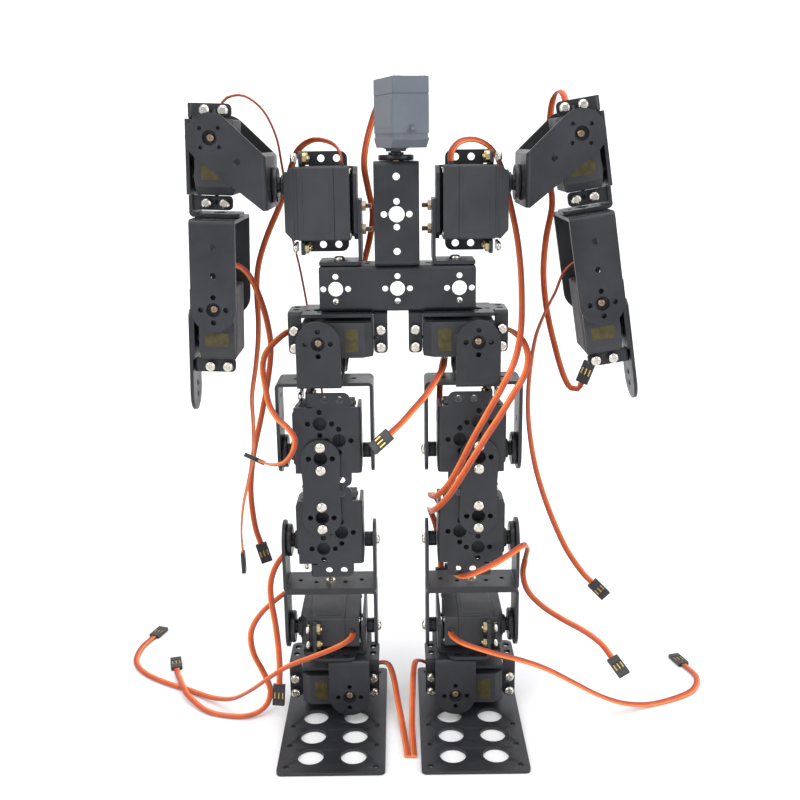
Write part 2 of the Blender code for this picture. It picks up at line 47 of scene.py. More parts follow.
# ---------------------------------------------------------------- dimensions
CASE_L, CASE_T, CASE_H, CASE_U0 = 40.7, 20.0, 36.5, -10.1
EAR_W0, EAR_T, EAR_L = 28.3, 2.5, 54.5
BR_V0, BR_V1 = -15.0, -13.0
BR_U0, BR_U1, BR_W0, BR_W1 = -9.7, 30.3, -4.0, 35.0
TAB_U0, TAB_U1, FL_W1 = -18.2, 38.8, 28.0
ARM_IN_W, ARM_OUT_W = -9.4, 43.6
U_MID = (ARM_IN_W + ARM_OUT_W) / 2.0
HALF = (ARM_OUT_W - ARM_IN_W) / 2.0
Z_SHOULDER, Z_ROLL, Z_ELBOW, X_ARM, SH_CASE_X = 330.0, 356.0, 264.0, 98.5, 26.0
CHEST_Z0, CHEST_Z1, CHEST_Y = 285.8, 342.5, -17.0
X_HIP, Z_HIPROLL, X_LEG = 44.8, 244.2, 43.5
Z_HIP, Z_KNEE, Z_ANKLE, Z_HIPYOKE = 173.7, 116.3, 58.0, 218.3
X_FOOT, Y_FOOT, Z_FOOT = 33.0, 10.3, 18.0
BOSS_R = 5.75
ONE = Matrix.Identity(4)


# -------------------------------------------------------------------- camera
cam_data = bpy.data.cameras.new("camera")
cam_data.lens = 45.0
cam_data.sensor_width = 36.0
cam = bpy.data.objects.new("camera", cam_data)
bpy.context.scene.collection.objects.link(cam)
cam.location = (0.0006 + SHIFT.x * MM, -0.575 + SHIFT.y * MM, 0.353)
cam.rotation_euler = (Matrix.Rotation(math.radians(75.5), 3, "X")
                      @ Matrix.Rotation(math.radians(-0.7), 3, "Z")).to_euler()
bpy.context.scene.camera = cam


# ----------------------------------------------------------------- materials
def nodes_of(name):
    m = bpy.data.materials.new(name)
    m.use_nodes = True
    nt = m.node_tree
    return m, nt, nt.nodes["Principled BSDF"]


def noise(nt, scale, detail=3.0, rough=0.55, stretch=None):
    tc = nt.nodes.new("ShaderNodeTexCoord")
    n = nt.nodes.new("ShaderNodeTexNoise")
    n.inputs["Scale"].default_value = scale
    n.inputs["Detail"].default_value = detail
    n.inputs["Roughness"].default_value = rough
    if stretch:
        mp = nt.nodes.new("ShaderNodeMapping")
        mp.inputs["Scale"].default_value = stretch
        nt.links.new(tc.outputs["Object"], mp.inputs["Vector"])
        nt.links.new(mp.outputs["Vector"], n.inputs["Vector"])
    else:
        nt.links.new(tc.outputs["Object"], n.inputs["Vector"])
    return n.outputs["Fac"]


def ramp(nt, fac, stops):
    r = nt.nodes.new("ShaderNodeValToRGB")
    while len(r.color_ramp.elements) < len(stops):
        r.color_ramp.elements.new(0.5)
    for e, (pos, col) in zip(r.color_ramp.elements, stops):
        e.position = pos
        e.color = (*col, 1.0)
    nt.links.new(fac, r.inputs["Fac"])
    return r.outputs["Color"]


def span(nt, fac, lo, hi):
    m = nt.nodes.new("ShaderNodeMapRange")
    m.inputs["To Min"].default_value = lo
    m.inputs["To Max"].default_value = hi
    m.inputs["From Min"].default_value = 0.3
    m.inputs["From Max"].default_value = 0.7
    nt.links.new(fac, m.inputs["Value"])
    return m.outputs["Result"]


def bump(nt, b, fac, dist, strength=0.4):
    n = nt.nodes.new("ShaderNodeBump")
    n.inputs["Distance"].default_value = dist
    n.inputs["Strength"].default_value = strength
    nt.links.new(fac, n.inputs["Height"])
    nt.links.new(n.outputs["Normal"], b.inputs["Normal"])


def finish_mat(name, dark, light, rough, metal=0.0, scale=60.0, grain=1800.0, depth=0.00003,
               coat=0.0, stretch=None):
    m, nt, b = nodes_of(name)
    f = noise(nt, scale, 4.0, 0.6, stretch)
    nt.links.new(ramp(nt, f, [(0.3, dark), (0.72, light)]), b.inputs["Base Color"])
    nt.links.new(span(nt, f, rough[0], rough[1]), b.inputs["Roughness"])
    b.inputs["Metallic"].default_value = metal
    b.inputs["Coat Weight"].default_value = coat
    if grain:
        bump(nt, b, noise(nt, grain, 2.0, 0.6), depth)
    return m


M = {
    # satin black anodised sheet, with a faint cool cast and handling marks
    "bracket": finish_mat("bracket_black", (0.016, 0.0165, 0.020), (0.029, 0.030, 0.036),
                          (0.34, 0.50), 0.2, 38.0, 2600.0, 0.00003),
    # moulded case plastic, matt, a little lighter and greyer in the light
    "plastic": finish_mat("servo_plastic", (0.020, 0.0205, 0.0245), (0.032, 0.0330, 0.0385),
                          (0.5, 0.66), 0.0, 55.0, 3400.0, 0.00005),
    "plastic_bare": finish_mat("servo_plastic_bare", (0.095, 0.108, 0.13), (0.135, 0.15, 0.175),
                               (0.42, 0.58), 0.0, 30.0, 3400.0, 0.00005),
    "horn": finish_mat("horn_black", (0.018, 0.018, 0.021), (0.03, 0.03, 0.034),
                       (0.28, 0.4), 0.35, 120.0, 2500.0, 0.00002),
    "nickel": finish_mat("nickel_screw", (0.56, 0.53, 0.47), (0.78, 0.74, 0.66),
                         (0.16, 0.3), 1.0, 300.0, 4000.0, 0.00001),
    "brass": finish_mat("brass_nut", (0.52, 0.40, 0.20), (0.74, 0.62, 0.36),
                        (0.22, 0.38), 1.0, 300.0, 4000.0, 0.00001),
    "copper": finish_mat("bronze_screw", (0.30, 0.22, 0.15), (0.46, 0.36, 0.26),
                         (0.25, 0.4), 1.0, 300.0, 4000.0, 0.00001),
    "plug": finish_mat("plug_black", (0.012, 0.012, 0.013), (0.022, 0.022, 0.024),
                       (0.35, 0.5), 0.0, 200.0, 3000.0, 0.00003),
    "gold": finish_mat("contact_gold", (0.34, 0.23, 0.08), (0.5, 0.37, 0.16),
                       (0.2, 0.32), 1.0, 400.0, 0),
    "sticker": finish_mat("blank_sticker", (0.030, 0.024, 0.006), (0.098, 0.076, 0.016),
                          (0.34, 0.5), 0.15, 260.0, 900.0, 0.00004),
    # painted shade: a near-black finish for the insides of recesses; no piece uses it
    "recess": finish_mat("recess_painted_shade", (0.008, 0.008, 0.009), (0.014, 0.014, 0.015),
                         (0.6, 0.8), 0.0, 200.0, 0),
    "orange": finish_mat("wire_orange", (0.68, 0.165, 0.035), (0.80, 0.235, 0.058),
                         (0.32, 0.46), 0.0, 160.0, 1500.0, 0.00005),
    "red": finish_mat("wire_red", (0.52, 0.065, 0.018), (0.64, 0.10, 0.028),
                      (0.32, 0.46), 0.0, 160.0, 1500.0, 0.00005),
    "brown": finish_mat("wire_brown", (0.30, 0.052, 0.018), (0.42, 0.08, 0.028),
                        (0.34, 0.5), 0.0, 160.0, 1500.0, 0.00005),
}
for m in M.values():
    if m.name.startswith("wire"):
        bb = m.node_tree.nodes["Principled BSDF"]
        bb.inputs["Subsurface Weight"].default_value = 0.0


# ------------------------------------------------------------------- helpers
def frm(o, u, v, w):
    m = Matrix.Identity(4)
    for i in range(3):
        m[i][0], m[i][1], m[i][2], m[i][3] = u[i], v[i], w[i], o[i]
    return m


def side_m(s):
    return Matrix.Diagonal((s, 1.0, 1.0, 1.0))


def link(me, name="tmp"):
    o = bpy.data.objects.new(name, me)
    bpy.context.scene.collection.objects.link(o)
    return o


def bm_mesh(bm, m=ONE):
    bm.transform(m)
    bmesh.ops.recalc_face_normals(bm, faces=bm.faces)
    if bm.calc_volume(signed=True) < 0.0:
        bmesh.ops.reverse_faces(bm, faces=bm.faces)
    me = bpy.data.meshes.new("tmp")
    bm.to_mesh(me)
    bm.free()
    return me


def slab(loops, c0, c1, m=ONE):
    cu = bpy.data.curves.new("outline", "CURVE")
    cu.dimensions = "2D"
    cu.fill_mode = "BOTH"
    cu.extrude = (c1 - c0) / 2.0
    for loop in loops:
        sp = cu.splines.new("POLY")
        sp.points.add(len(loop) - 1)
        for p, (a, b) in zip(sp.points, loop):
            p.co = (a, b, 0.0, 1.0)
        sp.use_cyclic_u = True
    co = link(cu)
    dg = bpy.context.evaluated_depsgraph_get()
    me = bpy.data.meshes.new_from_object(co.evaluated_get(dg))
    bpy.data.objects.remove(co, do_unlink=True)
    bm = bmesh.new()
    bm.from_mesh(me)
    bmesh.ops.remove_doubles(bm, verts=bm.verts, dist=1e-4)
    bm.transform(Matrix.Translation((0, 0, (c0 + c1) / 2.0)))
    return bm_mesh(bm, m)


def block(a, b, c, m=ONE):
    bm = bmesh.new()
    bmesh.ops.create_cube(bm, size=1.0)
    bm.transform(Matrix.Translation(((a[0] + a[1]) / 2, (b[0] + b[1]) / 2, (c[0] + c[1]) / 2))
                 @ Matrix.Diagonal((a[1] - a[0], b[1] - b[0], c[1] - c[0], 1.0)))
    return bm_mesh(bm, m)


def lathe(profile, m=ONE, n=32, at=(0.0, 0.0)):
    """Turned shape: profile is (r, c) from bottom to top, closed on the axis."""
    bm = bmesh.new()
    rings = []
    for r, c in profile:
        if r < 1e-6:
            rings.append([bm.verts.new((at[0], at[1], c))])
        else:
            rings.append([bm.verts.new((at[0] + r * math.cos(2 * math.pi * i / n),
                                        at[1] + r * math.sin(2 * math.pi * i / n), c))
                          for i in range(n)])
    for lo, hi in zip(rings, rings[1:]):
        for i in range(n):
            j = (i + 1) % n
            if len(lo) == 1:
                bm.faces.new((lo[0], hi[i], hi[j]))
            elif len(hi) == 1:
                bm.faces.new((lo[i], lo[j], hi[0]))
            else:
                bm.faces.new((lo[i], lo[j], hi[j], hi[i]))
    return shade(bm_mesh(bm, m))


def circle(a, b, r, n=20):
    start = 0.11 + 0.013 * a + 0.007 * b
    return [(a + r * math.cos(start + 2 * math.pi * i / n),
             b + r * math.sin(start + 2 * math.pi * i / n)) for i in range(n)]


def five(a, b, big=4.0, small=1.6, pcd=14.0, n=24):
    h = [circle(a, b, big, n)]
    for i in range(4):
        t = i * math.pi / 2
        h.append(circle(a + pcd / 2 * math.cos(t), b + pcd / 2 * math.sin(t), small, 12))
    return h


def arc(ca, cb, r, t0, t1, n):
    return [(ca + r * math.cos(math.radians(t0 + (t1 - t0) * i / n)),
             cb + r * math.sin(math.radians(t0 + (t1 - t0) * i / n))) for i in range(n + 1)]


def rrect(a0, a1, b0, b1, r=(0, 0, 0, 0), n=5):
    out = []
    for (a, b, rr, q) in ((a0, b0, r[0], 180), (a1, b0, r[1], 270), (a1, b1, r[2], 0), (a0, b1, r[3], 90)):
        if rr <= 0:
            out.append((a, b))
        else:
            out += arc(a + rr if a == a0 else a - rr, b + rr if b == b0 else b - rr, rr, q, q + 90, n)
    return out


def bent(points, t=2.0, r_out=2.6, n=5):
    """Outline of a sheet of thickness t that follows points (its outer face,
    sheet to the left of the way it runs), with round bends."""
    def offset(pts, d):
        res = []
        for i, p in enumerate(pts):
            p = Vector(p)
            ds = []
            if i > 0:
                ds.append((p - Vector(pts[i - 1])).normalized())
            if i < len(pts) - 1:
                ds.append((Vector(pts[i + 1]) - p).normalized())
            ns = [Vector((-q.y, q.x)) for q in ds]
            if len(ns) == 1:
                res.append(p + ns[0] * d)
            else:
                k = (ns[0] + ns[1])
                res.append(p + k * (d / (1 + ns[0].dot(ns[1]))))
        return res

    def rounded(pts, rad):
        res = [Vector(pts[0])]
        for i in range(1, len(pts) - 1):
            p = Vector(pts[i])
            d0 = (Vector(pts[i - 1]) - p).normalized()
            d1 = (Vector(pts[i + 1]) - p).normalized()
            ang = d0.angle(d1)
            k = rad / math.tan(ang / 2)
            a, b = p + d0 * k, p + d1 * k
            c = p + (d0 + d1).normalized() * (rad / math.sin(ang / 2))
            for j in range(n + 1):
                v = a.lerp(b, j / n) - c
                res.append(c + v.normalized() * rad)
        res.append(Vector(pts[-1]))
        return res
    outer = rounded(points, r_out)
    inner = rounded(offset(points, t), max(r_out - t, 0.4))
    return [(p.x, p.y) for p in outer] + [(p.x, p.y) for p in reversed(inner)]


def boolean(base, cutters, op="UNION"):
    """EXACT boolean of meshes, applied."""
    o = link(base)
    tmp = []
    for c in cutters:
        co = link(c)
        mod = o.modifiers.new("b", "BOOLEAN")
        mod.operation = op
        mod.object = co
        tmp.append(co)
    dg = bpy.context.evaluated_depsgraph_get()
    me = bpy.data.meshes.new_from_object(o.evaluated_get(dg))
    for x in [o] + tmp:
        bpy.data.objects.remove(x, do_unlink=True)
    bm = bmesh.new()
    bm.from_mesh(me)
    bmesh.ops.remove_doubles(bm, verts=bm.verts, dist=2e-3)
    bmesh.ops.dissolve_limit(bm, angle_limit=math.radians(0.6), verts=bm.verts, edges=bm.edges)
    bm.to_mesh(me)
    bm.free()
    return me


def together(meshes):
    """Several closed shells in one mesh."""
    bm = bmesh.new()
    for me in meshes:
        bm.from_mesh(me)
    me = bpy.data.meshes.new("tmp")
    bm.to_mesh(me)
    bm.free()
    return me


def shade(me, angle=32.0):
    """Smooth shading, with flat shading on the large plane faces."""
    me.shade_smooth()
    me.set_sharp_from_angle(angle=math.radians(angle))
    for p in me.polygons:
        if len(p.vertices) > 4 or p.area > 6.0:
            p.use_smooth = False
    return me


def bevelled(me, width=0.22, seg=2, angle=32.0):
    """Bevel, applied, with smooth shading broken at sharp edges."""
    o = link(me)
    mod = o.modifiers.new("bevel", "BEVEL")
    mod.width = width
    mod.segments = seg
    mod.limit_method = "ANGLE"
    mod.angle_limit = math.radians(angle)
    mod.use_clamp_overlap = True
    mod.harden_normals = False
    dg = bpy.context.evaluated_depsgraph_get()
    out = bpy.data.meshes.new_from_object(o.evaluated_get(dg))
    bpy.data.objects.remove(o, do_unlink=True)
    return shade(out)


def place(me, m):
    """Copy of a millimetre mesh, moved by m, shifted and scaled to metres."""
    out = me.copy()
    bm = bmesh.new()
    bm.from_mesh(out)
    bm.transform(m)
    if m.determinant() < 0:
        bmesh.ops.reverse_faces(bm, faces=bm.faces)
    bm.transform(Matrix.Diagonal((MM, MM, MM, 1.0)) @ Matrix.Translation(SHIFT))
    bm.to_mesh(out)
    bm.free()
    return out


def piece(name, me, m, mat, body, node=None):
    o = bpy.data.objects.new(name, place(me, m))
    bpy.context.scene.collection.objects.link(o)
    mats = mat if isinstance(mat, (list, tuple)) else [mat]
    if not o.data.materials:
        for x in mats:
            o.data.materials.append(M[x])
    else:
        for i, x in enumerate(mats):
            o.data.materials[i] = M[x]
    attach(o, body)
    if node:
        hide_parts(node)
    return o


def joined(meshes_mats):
    """One mesh out of (mesh, matrix) pairs, still in millimetres."""
    bm = bmesh.new()
    for me, m in meshes_mats:
        c = me.copy()
        b2 = bmesh.new()
        b2.from_mesh(c)
        b2.transform(m)
        if m.determinant() < 0:
            bmesh.ops.reverse_faces(b2, faces=b2.faces)
        b2.to_mesh(c)
        b2.free()
        bm.from_mesh(c)
        bpy.data.meshes.remove(c)
    out = bpy.data.meshes.new("tmp")
    bm.to_mesh(out)
    bm.free()
    return out


def drums(spots, r, c0, c1, m, n=24):
    return together([lathe([(0, c0), (r, c0), (r, c1), (0, c1)], m, n, s) for s in spots])


def around(a, b, r=7.0):
    return [(a + r, b), (a - r, b), (a, b + r), (a, b - r)]


# ------------------------------------------------------------ kit of shapes
def make_servo():
    """Case in three mouldings, ears with open slots and boss."""
    u0, u1, h = CASE_U0, CASE_U0 + CASE_L, CASE_T / 2
    parts = []
    cap = slab([rrect(u0, u1, -h, h, (1.3,) * 4, 4)], 0.0, 8.6)
    parts.append(bevelled(cap, 0.55, 3))
    mid = slab([rrect(u0, u1, -h, h, (1.3,) * 4, 4)], 8.9, 29.0)
    parts.append(bevelled(mid, 0.22, 2))
    core = slab([rrect(u0 + 0.45, u1 - 0.45, -h + 0.45, h - 0.45, (1.0,) * 4, 4)], 8.0, 32.0)
    parts.append(core)
    f = frm((0, 0, 0), (1, 0, 0), (0, 0, 1), (0, 1, 0))
    top = slab([[(u0, 31.05), (u1, 31.05), (u1 - 0.2, 32.2), (u1 - 5.0, CASE_H),
                 (u0 + 5.0, CASE_H), (u0 + 0.2, 32.2)]], -h, h, f)
    parts.append(bevelled(top, 0.6, 3, 20))
    ears = CASE_L / 2 + u0 - EAR_L / 2
    e = slab([rrect(ears, ears + EAR_L, -9.2, 9.2, (1.6,) * 4, 4)], EAR_W0, EAR_W0 + EAR_T)
    cuts = []
    for a, out in ((ears + 2.6, -1), (ears + EAR_L - 2.6, 1)):
        for b in (-5.0, 5.0):
            cuts.append(slab([circle(a, b, 2.1, 16)], 27.0, 32.0))
            cuts.append(block((min(a, a + out * 5), max(a, a + out * 5)), (b - 1.1, b + 1.1),
                              (27.1, 32.1)))
    parts.append(bevelled(boolean(e, [together(cuts)], "DIFFERENCE"), 0.25, 2))
    for sgn in (-1, 1):                                    # ribs under the ears
        a = ears + 2.0 if sgn < 0 else ears + EAR_L - 2.0
        b = u0 + 0.8 if sgn < 0 else u1 - 0.8
        parts.append(slab([[(a, EAR_W0 + 0.2), (b, EAR_W0 + 0.2), (b, EAR_W0 - 4.5)]], -0.7, 0.7, f))
    parts.append(lathe([(0, 36.0), (7.2, 36.0), (7.2, 36.75), (6.5, 37.1), (BOSS_R, 37.2),
                        (BOSS_R, 38.2), (BOSS_R - 0.35, 38.5), (0, 38.5)], ONE, 40))
    parts.append(lathe([(0, 38.0), (2.9, 38.0), (2.9, 40.6), (0, 40.6)], ONE, 25))
    # gear train's second bump and the moulded panel on each flat side
    parts.append(lathe([(0, 36.2), (4.4, 36.2), (4.4, 36.75), (4.0, 37.0), (0, 37.0)], ONE, 32, (8.6, 0)))
    for sgn in (-1, 1):
        p = slab([rrect(u0 + 4, u1 - 4, 11.0, 26.0, (1.5,) * 4, 4)], 9.7, h + 0.14,
                 frm((0, 0, 0), (1, 0, 0), (0, 0, 1), (0, sgn, 0)))
        parts.append(bevelled(p, 0.12, 1))
    # lead grommet at the shaft end, low down
    parts.append(bevelled(block((u0 - 1.3, u0 + 1.0), (-2.6, 2.6), (3.2, 6.0)), 0.3, 2))
    return joined([(p, ONE) for p in parts])


def make_case_screws():
    """Four long case screws seen in the bottom cap's corners."""
    out = []
    for a in (CASE_U0 + 3.0, CASE_U0 + CASE_L - 3.0):
        for b in (-7.0, 7.0):
            out.append((SCREW_SMALL, frm((a, b, 0.25), (1, 0, 0), (0, -1, 0), (0, 0, -1))))
    return joined(out)


def make_screw(r, t, slot_w, slot_l, depth, shank=0.0, shank_l=0.0):
    """Pan-head screw, face at c = t, seat at c = 0, with a cross recess."""
    prof = [(0, -0.4), (r * 0.92, -0.4), (r, 0.0), (r, t * 0.45), (r * 0.9, t * 0.78), (r * 0.62, t),
            (0, t)]
    head = lathe(prof, ONE, 28)
    cut = together([block((-slot_l / 2, slot_l / 2), (-slot_w / 2, slot_w / 2), (t - depth, t + 1)),
                    ])
    cut2 = block((-slot_w / 2, slot_w / 2), (-slot_l / 2, slot_l / 2), (t - depth, t + 1.1))
    me = boolean(head, [cut, cut2], "DIFFERENCE")
    parts = [(bevelled(me, 0.07, 1), ONE)]
    if shank:
        parts.append((make_shank(shank, -shank_l, 0.0), ONE))
    return joined(parts)


def make_shank(r, c0, c1, pitch=0.55):
    """Threaded shank between c0 and c1."""
    prof = [(0, c0), (r * 0.72, c0)]
    c = c0 + 0.25
    while c < c1 - pitch / 2:
        prof += [(r * 0.84, c), (r, c + pitch / 2)]
        c += pitch
    prof += [(r * 0.84, c1), (0, c1)]
    return lathe(prof, ONE, 16)


def make_nut(af, t):
    """Hexagon nut with chamfered corners, seat at c = 0."""
    r = af / math.sqrt(3)
    hexa = slab([[(r * math.cos(math.pi / 3 * i), r * math.sin(math.pi / 3 * i)) for i in range(6)],
                 circle(0, 0, af * 0.24, 16)], 0.0, t)
    cone = lathe([(0, -0.6), (af * 0.5, -0.6), (r * 1.04, 0.55), (r * 1.04, t - 0.55),
                  (af * 0.5, t + 0.1), (0, t + 0.1)], ONE, 36)
    return bevelled(boolean(hexa, [cone], "INTERSECT"), 0.1, 1)


SCREW = make_screw(2.9, 1.9, 0.55, 2.8, 0.45)             # M3 pan head
SCREW_BIG = make_screw(3.2, 2.1, 0.55, 3.2, 0.45)
SCREW_SMALL = make_screw(1.7, 0.9, 0.5, 2.0, 0.6)
NUT = make_nut(5.5, 2.3)
TAIL = make_shank(1.5, 0.0, 3.2)                          # end of the thread past a nut
HORN_SCREW = make_screw(2.4, 1.3, 0.5, 2.6, 0.4)


def make_horn():
    """Round metal-look horn disc with its hub, in the servo's (u, v, w)."""
    disc = lathe([(0, 40.2), (9.6, 40.2), (HORN_EDGE, 40.6), (HORN_EDGE, 42.9), (9.6, 43.3), (0, 43.3)],
                 ONE, 48)
    cut = drums(around(0, 0, 7.0), 1.4, 39.0, 44.5, ONE, 16)
    cut2 = drums([(0, 0)], 3.6, 42.2, 44.5, ONE, 24)
    d = bevelled(boolean(disc, [cut, cut2], "DIFFERENCE"), 0.12, 1)
    hub = lathe([(0, 38.9), (4.2, 38.9), (4.4, 39.1), (4.4, 40.5), (0, 40.5)], ONE, 32)
    return joined([(d, ONE), (hub, ONE)])


HORN_EDGE = 10.0
FUW = frm((0, 0, 0), (1, 0, 0), (0, 0, 1), (0, 1, 0))     # (u, w | v)
FVW = frm((0, 0, 0), (0, 1, 0), (0, 0, 1), (1, 0, 0))     # (v, w | u)


def make_servo_bracket(turn_in=False):
    """Folded sheet round the servo: base, rear plate, two tabs with ear flanges."""
    # sheet lies to the left of the way each outline runs
    rear = slab([bent([(-15, 35), (-15, -4), (9, -4)])], BR_U0, BR_U1, FVW)
    f = frm((0, 0, 0), (1, 0, 0), (0, 1, 0), (0, 0, 1))
    rear_cut = slab([[(BR_U0 - 9, 5.2), (BR_U0 - 0.01, 5.2), (BR_U0 + 3.9, 9.2), (BR_U0 + 3.9, 12),
                      (BR_U0 - 9, 12)]], -6, -1, f)
    rear_cut2 = slab([[(BR_U1 + 9, 5.2), (BR_U1 + 9, 12), (BR_U1 - 3.9, 12), (BR_U1 - 3.9, 9.2),
                       (BR_U1 + 0.01, 5.2)]], -6, -1, f)
    # corners of the base's upper edge
    base = boolean(rear, [together([rear_cut, rear_cut2])], "DIFFERENCE")
    tab_r = 4.0
    tabs = [slab([rrect(TAB_U0, -9.2, 2.0, 24.0, (tab_r, 0, 0, 0), 4)], -14.97, -13.03, FUW),
            slab([rrect(29.8, TAB_U1, 2.0, 24.0, (0, tab_r, 0, 0), 4)], -14.96, -13.04, FUW)]
    if turn_in:
        tabs[1] = slab([rrect(29.8, TAB_U1, 2.0, 24.0, (0, 0, 0, 0), 4)], -14.96, -13.04, FUW)
        arm = [(29.8 + 1, -15), (42.7, -15), (42.7, 12.5)]
        leaf = slab([bent(arm)], U_MID - 12.5, U_MID + 12.5)
        edge = slab([rrect(-20, 12.5, U_MID - 12.5, U_MID + 12.5, (0, 4, 4, 0), 5)], 29, 44, FVW)
        tabs.append(boolean(leaf, [edge], "INTERSECT"))
    fl = []
    for a0, a1 in ((TAB_U0, -10.5), (31.0, TAB_U1)):
        prof = slab([bent([(9, 28), (-15, 28), (-15, 20)])], a0, a1, FVW)
        sil = slab([rrect(a0 - 0.1 if a0 > 0 else a0, a1 if a0 > 0 else a1 + 0.1, -20, 9,
                          (0, 0, 2.5, 2.5), 4)], 10, 30)
        fl.append(boolean(prof, [sil], "INTERSECT"))
    me = boolean(base, tabs[:1])
    for t in tabs[1:] + fl:
        me = boolean(me, [t])
    cuts = []
    for a, b in ((20.6, 20.0), (0.0, 20.0), (10.3, 9.0)):
        cuts.append(slab([circle(a, b, 4.0, 32)], -16, -12, FUW))
        cuts.append(together([slab([circle(p, q, 1.6, 14)], -16, -12, FUW)
                              for p, q in around(a, b) if BR_U0 + 2 < p < BR_U1 - 2]))
    cuts.append(together([slab([circle(u, w, 2.1, 18)], -16, -12, FUW)
                          for u in (-14.2, 34.8) for w in (8.0, 17.0)]))
    cuts.append(slab([circle(0, 0, 2.0, 18)], -6, -1))
    cuts.append(slab([circle(20.6, 0, 4.0, 28)], -6, -1))
    if turn_in:
        cuts.append(slab([circle(0, U_MID, 4.0, 28)], 39, 44, FVW))
        cuts.append(together([slab([circle(p, q, 1.6, 14)], 39, 44, FVW)
                              for p, q in around(0, U_MID)]))
    for c in cuts:
        me = boolean(me, [c], "DIFFERENCE")
    return bevelled(me, 0.2, 2)


def make_u(depth, base_hole=True):
    """Folded U in (a, b, c), round arm ends at b = 0, base at b = depth."""
    o = HALF + 2.0
    prof = slab([bent([(-o, -14), (-o, depth), (o, depth), (o, -14)][::-1])], -12.5, 12.5)
    fa = frm((0, 0, 0), (0, 0, 1), (0, 1, 0), (1, 0, 0))      # (c, b | a)
    sil = slab([arc(0, 0, 12.5, 180, 360, 24) + [(12.5, depth + 3), (-12.5, depth + 3)]],
               -o - 1, o + 1, fa)
    me = boolean(prof, [sil], "INTERSECT")
    fb = frm((0, 0, 0), (1, 0, 0), (0, 0, 1), (0, 1, 0))      # (a, c | b)
    cuts = [slab([circle(0, 0, 4.0, 32)], HALF - 1, o + 1, fa),
            slab([circle(0, 0, 2.0, 18)], -o - 1, -HALF + 1, fa),
            together([slab([circle(p, q, 1.5, 14)], HALF - 1, o + 1, fa) for p, q in around(0, 0)])]
    if depth > 40:
        for hb in (18.8, 34.5):
            cuts.append(together([slab([circle(0, hb, 1.75, 16)], HALF - 1, o + 1, fa),
                                  slab([circle(0, hb, 1.75, 16)], -o - 1, -HALF + 1, fa)]))
    if not base_hole:
        cuts.append(together([slab([circle(p, q, 1.5, 14)], depth - 3, depth + 1, fb)
                              for p, q in ((-19, 0), (-9, 3), (9, 3), (19, 0), (-9, -6), (9, -6))]))
    else:
        cuts.append(slab([circle(0, 0, 4.0, 32)], depth - 3, depth + 1, fb))
        cuts.append(together([slab([circle(p, q, 1.5, 14)], depth - 3, depth + 1, fb)
                              for p, q in around(0, 0)]))
        cuts.append(together([slab([circle(p, 0, 1.8, 14)], depth - 3, depth + 1, fb)
                              for p in (-17.0, 17.0)]))
    for c in cuts:
        me = boolean(me, [c], "DIFFERENCE")
    return bevelled(me, 0.2, 2)


def make_shoulder_yoke():
    """Right-handed one, at the left side: tapered U with its base inboard."""
    prof = slab([bent([(121, -28.5), (69.6, -28.5), (69.6, 28.5), (121, 28.5)][::-1])], 310, 372)
    pts = [(X_ARM + 13 * math.cos(math.radians(t)), Z_ROLL + 13 * math.sin(math.radians(t)))
           for t in range(0, 360, 8)]
    pts += [(66, Z_SHOULDER - 12.5), (66, Z_SHOULDER + 12.5), (71.8, Z_SHOULDER - 12.5),
            (71.8, Z_SHOULDER + 12.5)]
    fxz = frm((0, 0, 0), (1, 0, 0), (0, 0, 1), (0, 1, 0))
    sil = slab([hull(pts)], -40, 40, fxz)
    me = boolean(prof, [sil], "INTERSECT")
    fyz = frm((0, 0, 0), (0, 1, 0), (0, 0, 1), (1, 0, 0))
    cuts = [slab([circle(X_ARM, Z_ROLL, 4.0, 32)], -30, -25, fxz),
            together([slab([circle(X_ARM + p, Z_ROLL + q, 1.1, 14)], -30, -25, fxz)
                      for p in (-4.95, 4.95) for q in (-4.95, 4.95)]),
            slab([circle(X_ARM, Z_ROLL, 2.0, 18)], 25, 30, fxz),
            together([slab([circle(84.5, 343.3, 1.75, 16)], y, y + 5, fxz) for y in (-30, 25)]),
            slab([circle(0, Z_SHOULDER, 4.0, 28)], 68, 73, fyz),
            together([slab([circle(p, q, 1.5, 14)], 68, 73, fyz) for p, q in around(0, Z_SHOULDER)]),
            together([slab([circle(p, Z_SHOULDER, 1.8, 14)], 68, 73, fyz) for p in (-18.0, 18.0)])]
    for c in cuts:
        me = boolean(me, [c], "DIFFERENCE")
    return bevelled(me, 0.2, 2)


def hull(points):
    pts = sorted(set((round(a, 6), round(b, 6)) for a, b in points))

    def half(seq):
        h = []
        for p in seq:
            while len(h) > 1 and ((h[-1][0] - h[-2][0]) * (p[1] - h[-2][1])
                                  - (h[-1][1] - h[-2][1]) * (p[0] - h[-2][0])) <= 1e-9:
                h.pop()
            h.append(p)
        return h[:-1]
    return half(pts) + half(reversed(pts))


FXZ = frm((0, 0, 0), (1, 0, 0), (0, 0, 1), (0, 1, 0))
FYZ = frm((0, 0, 0), (0, 1, 0), (0, 0, 1), (1, 0, 0))


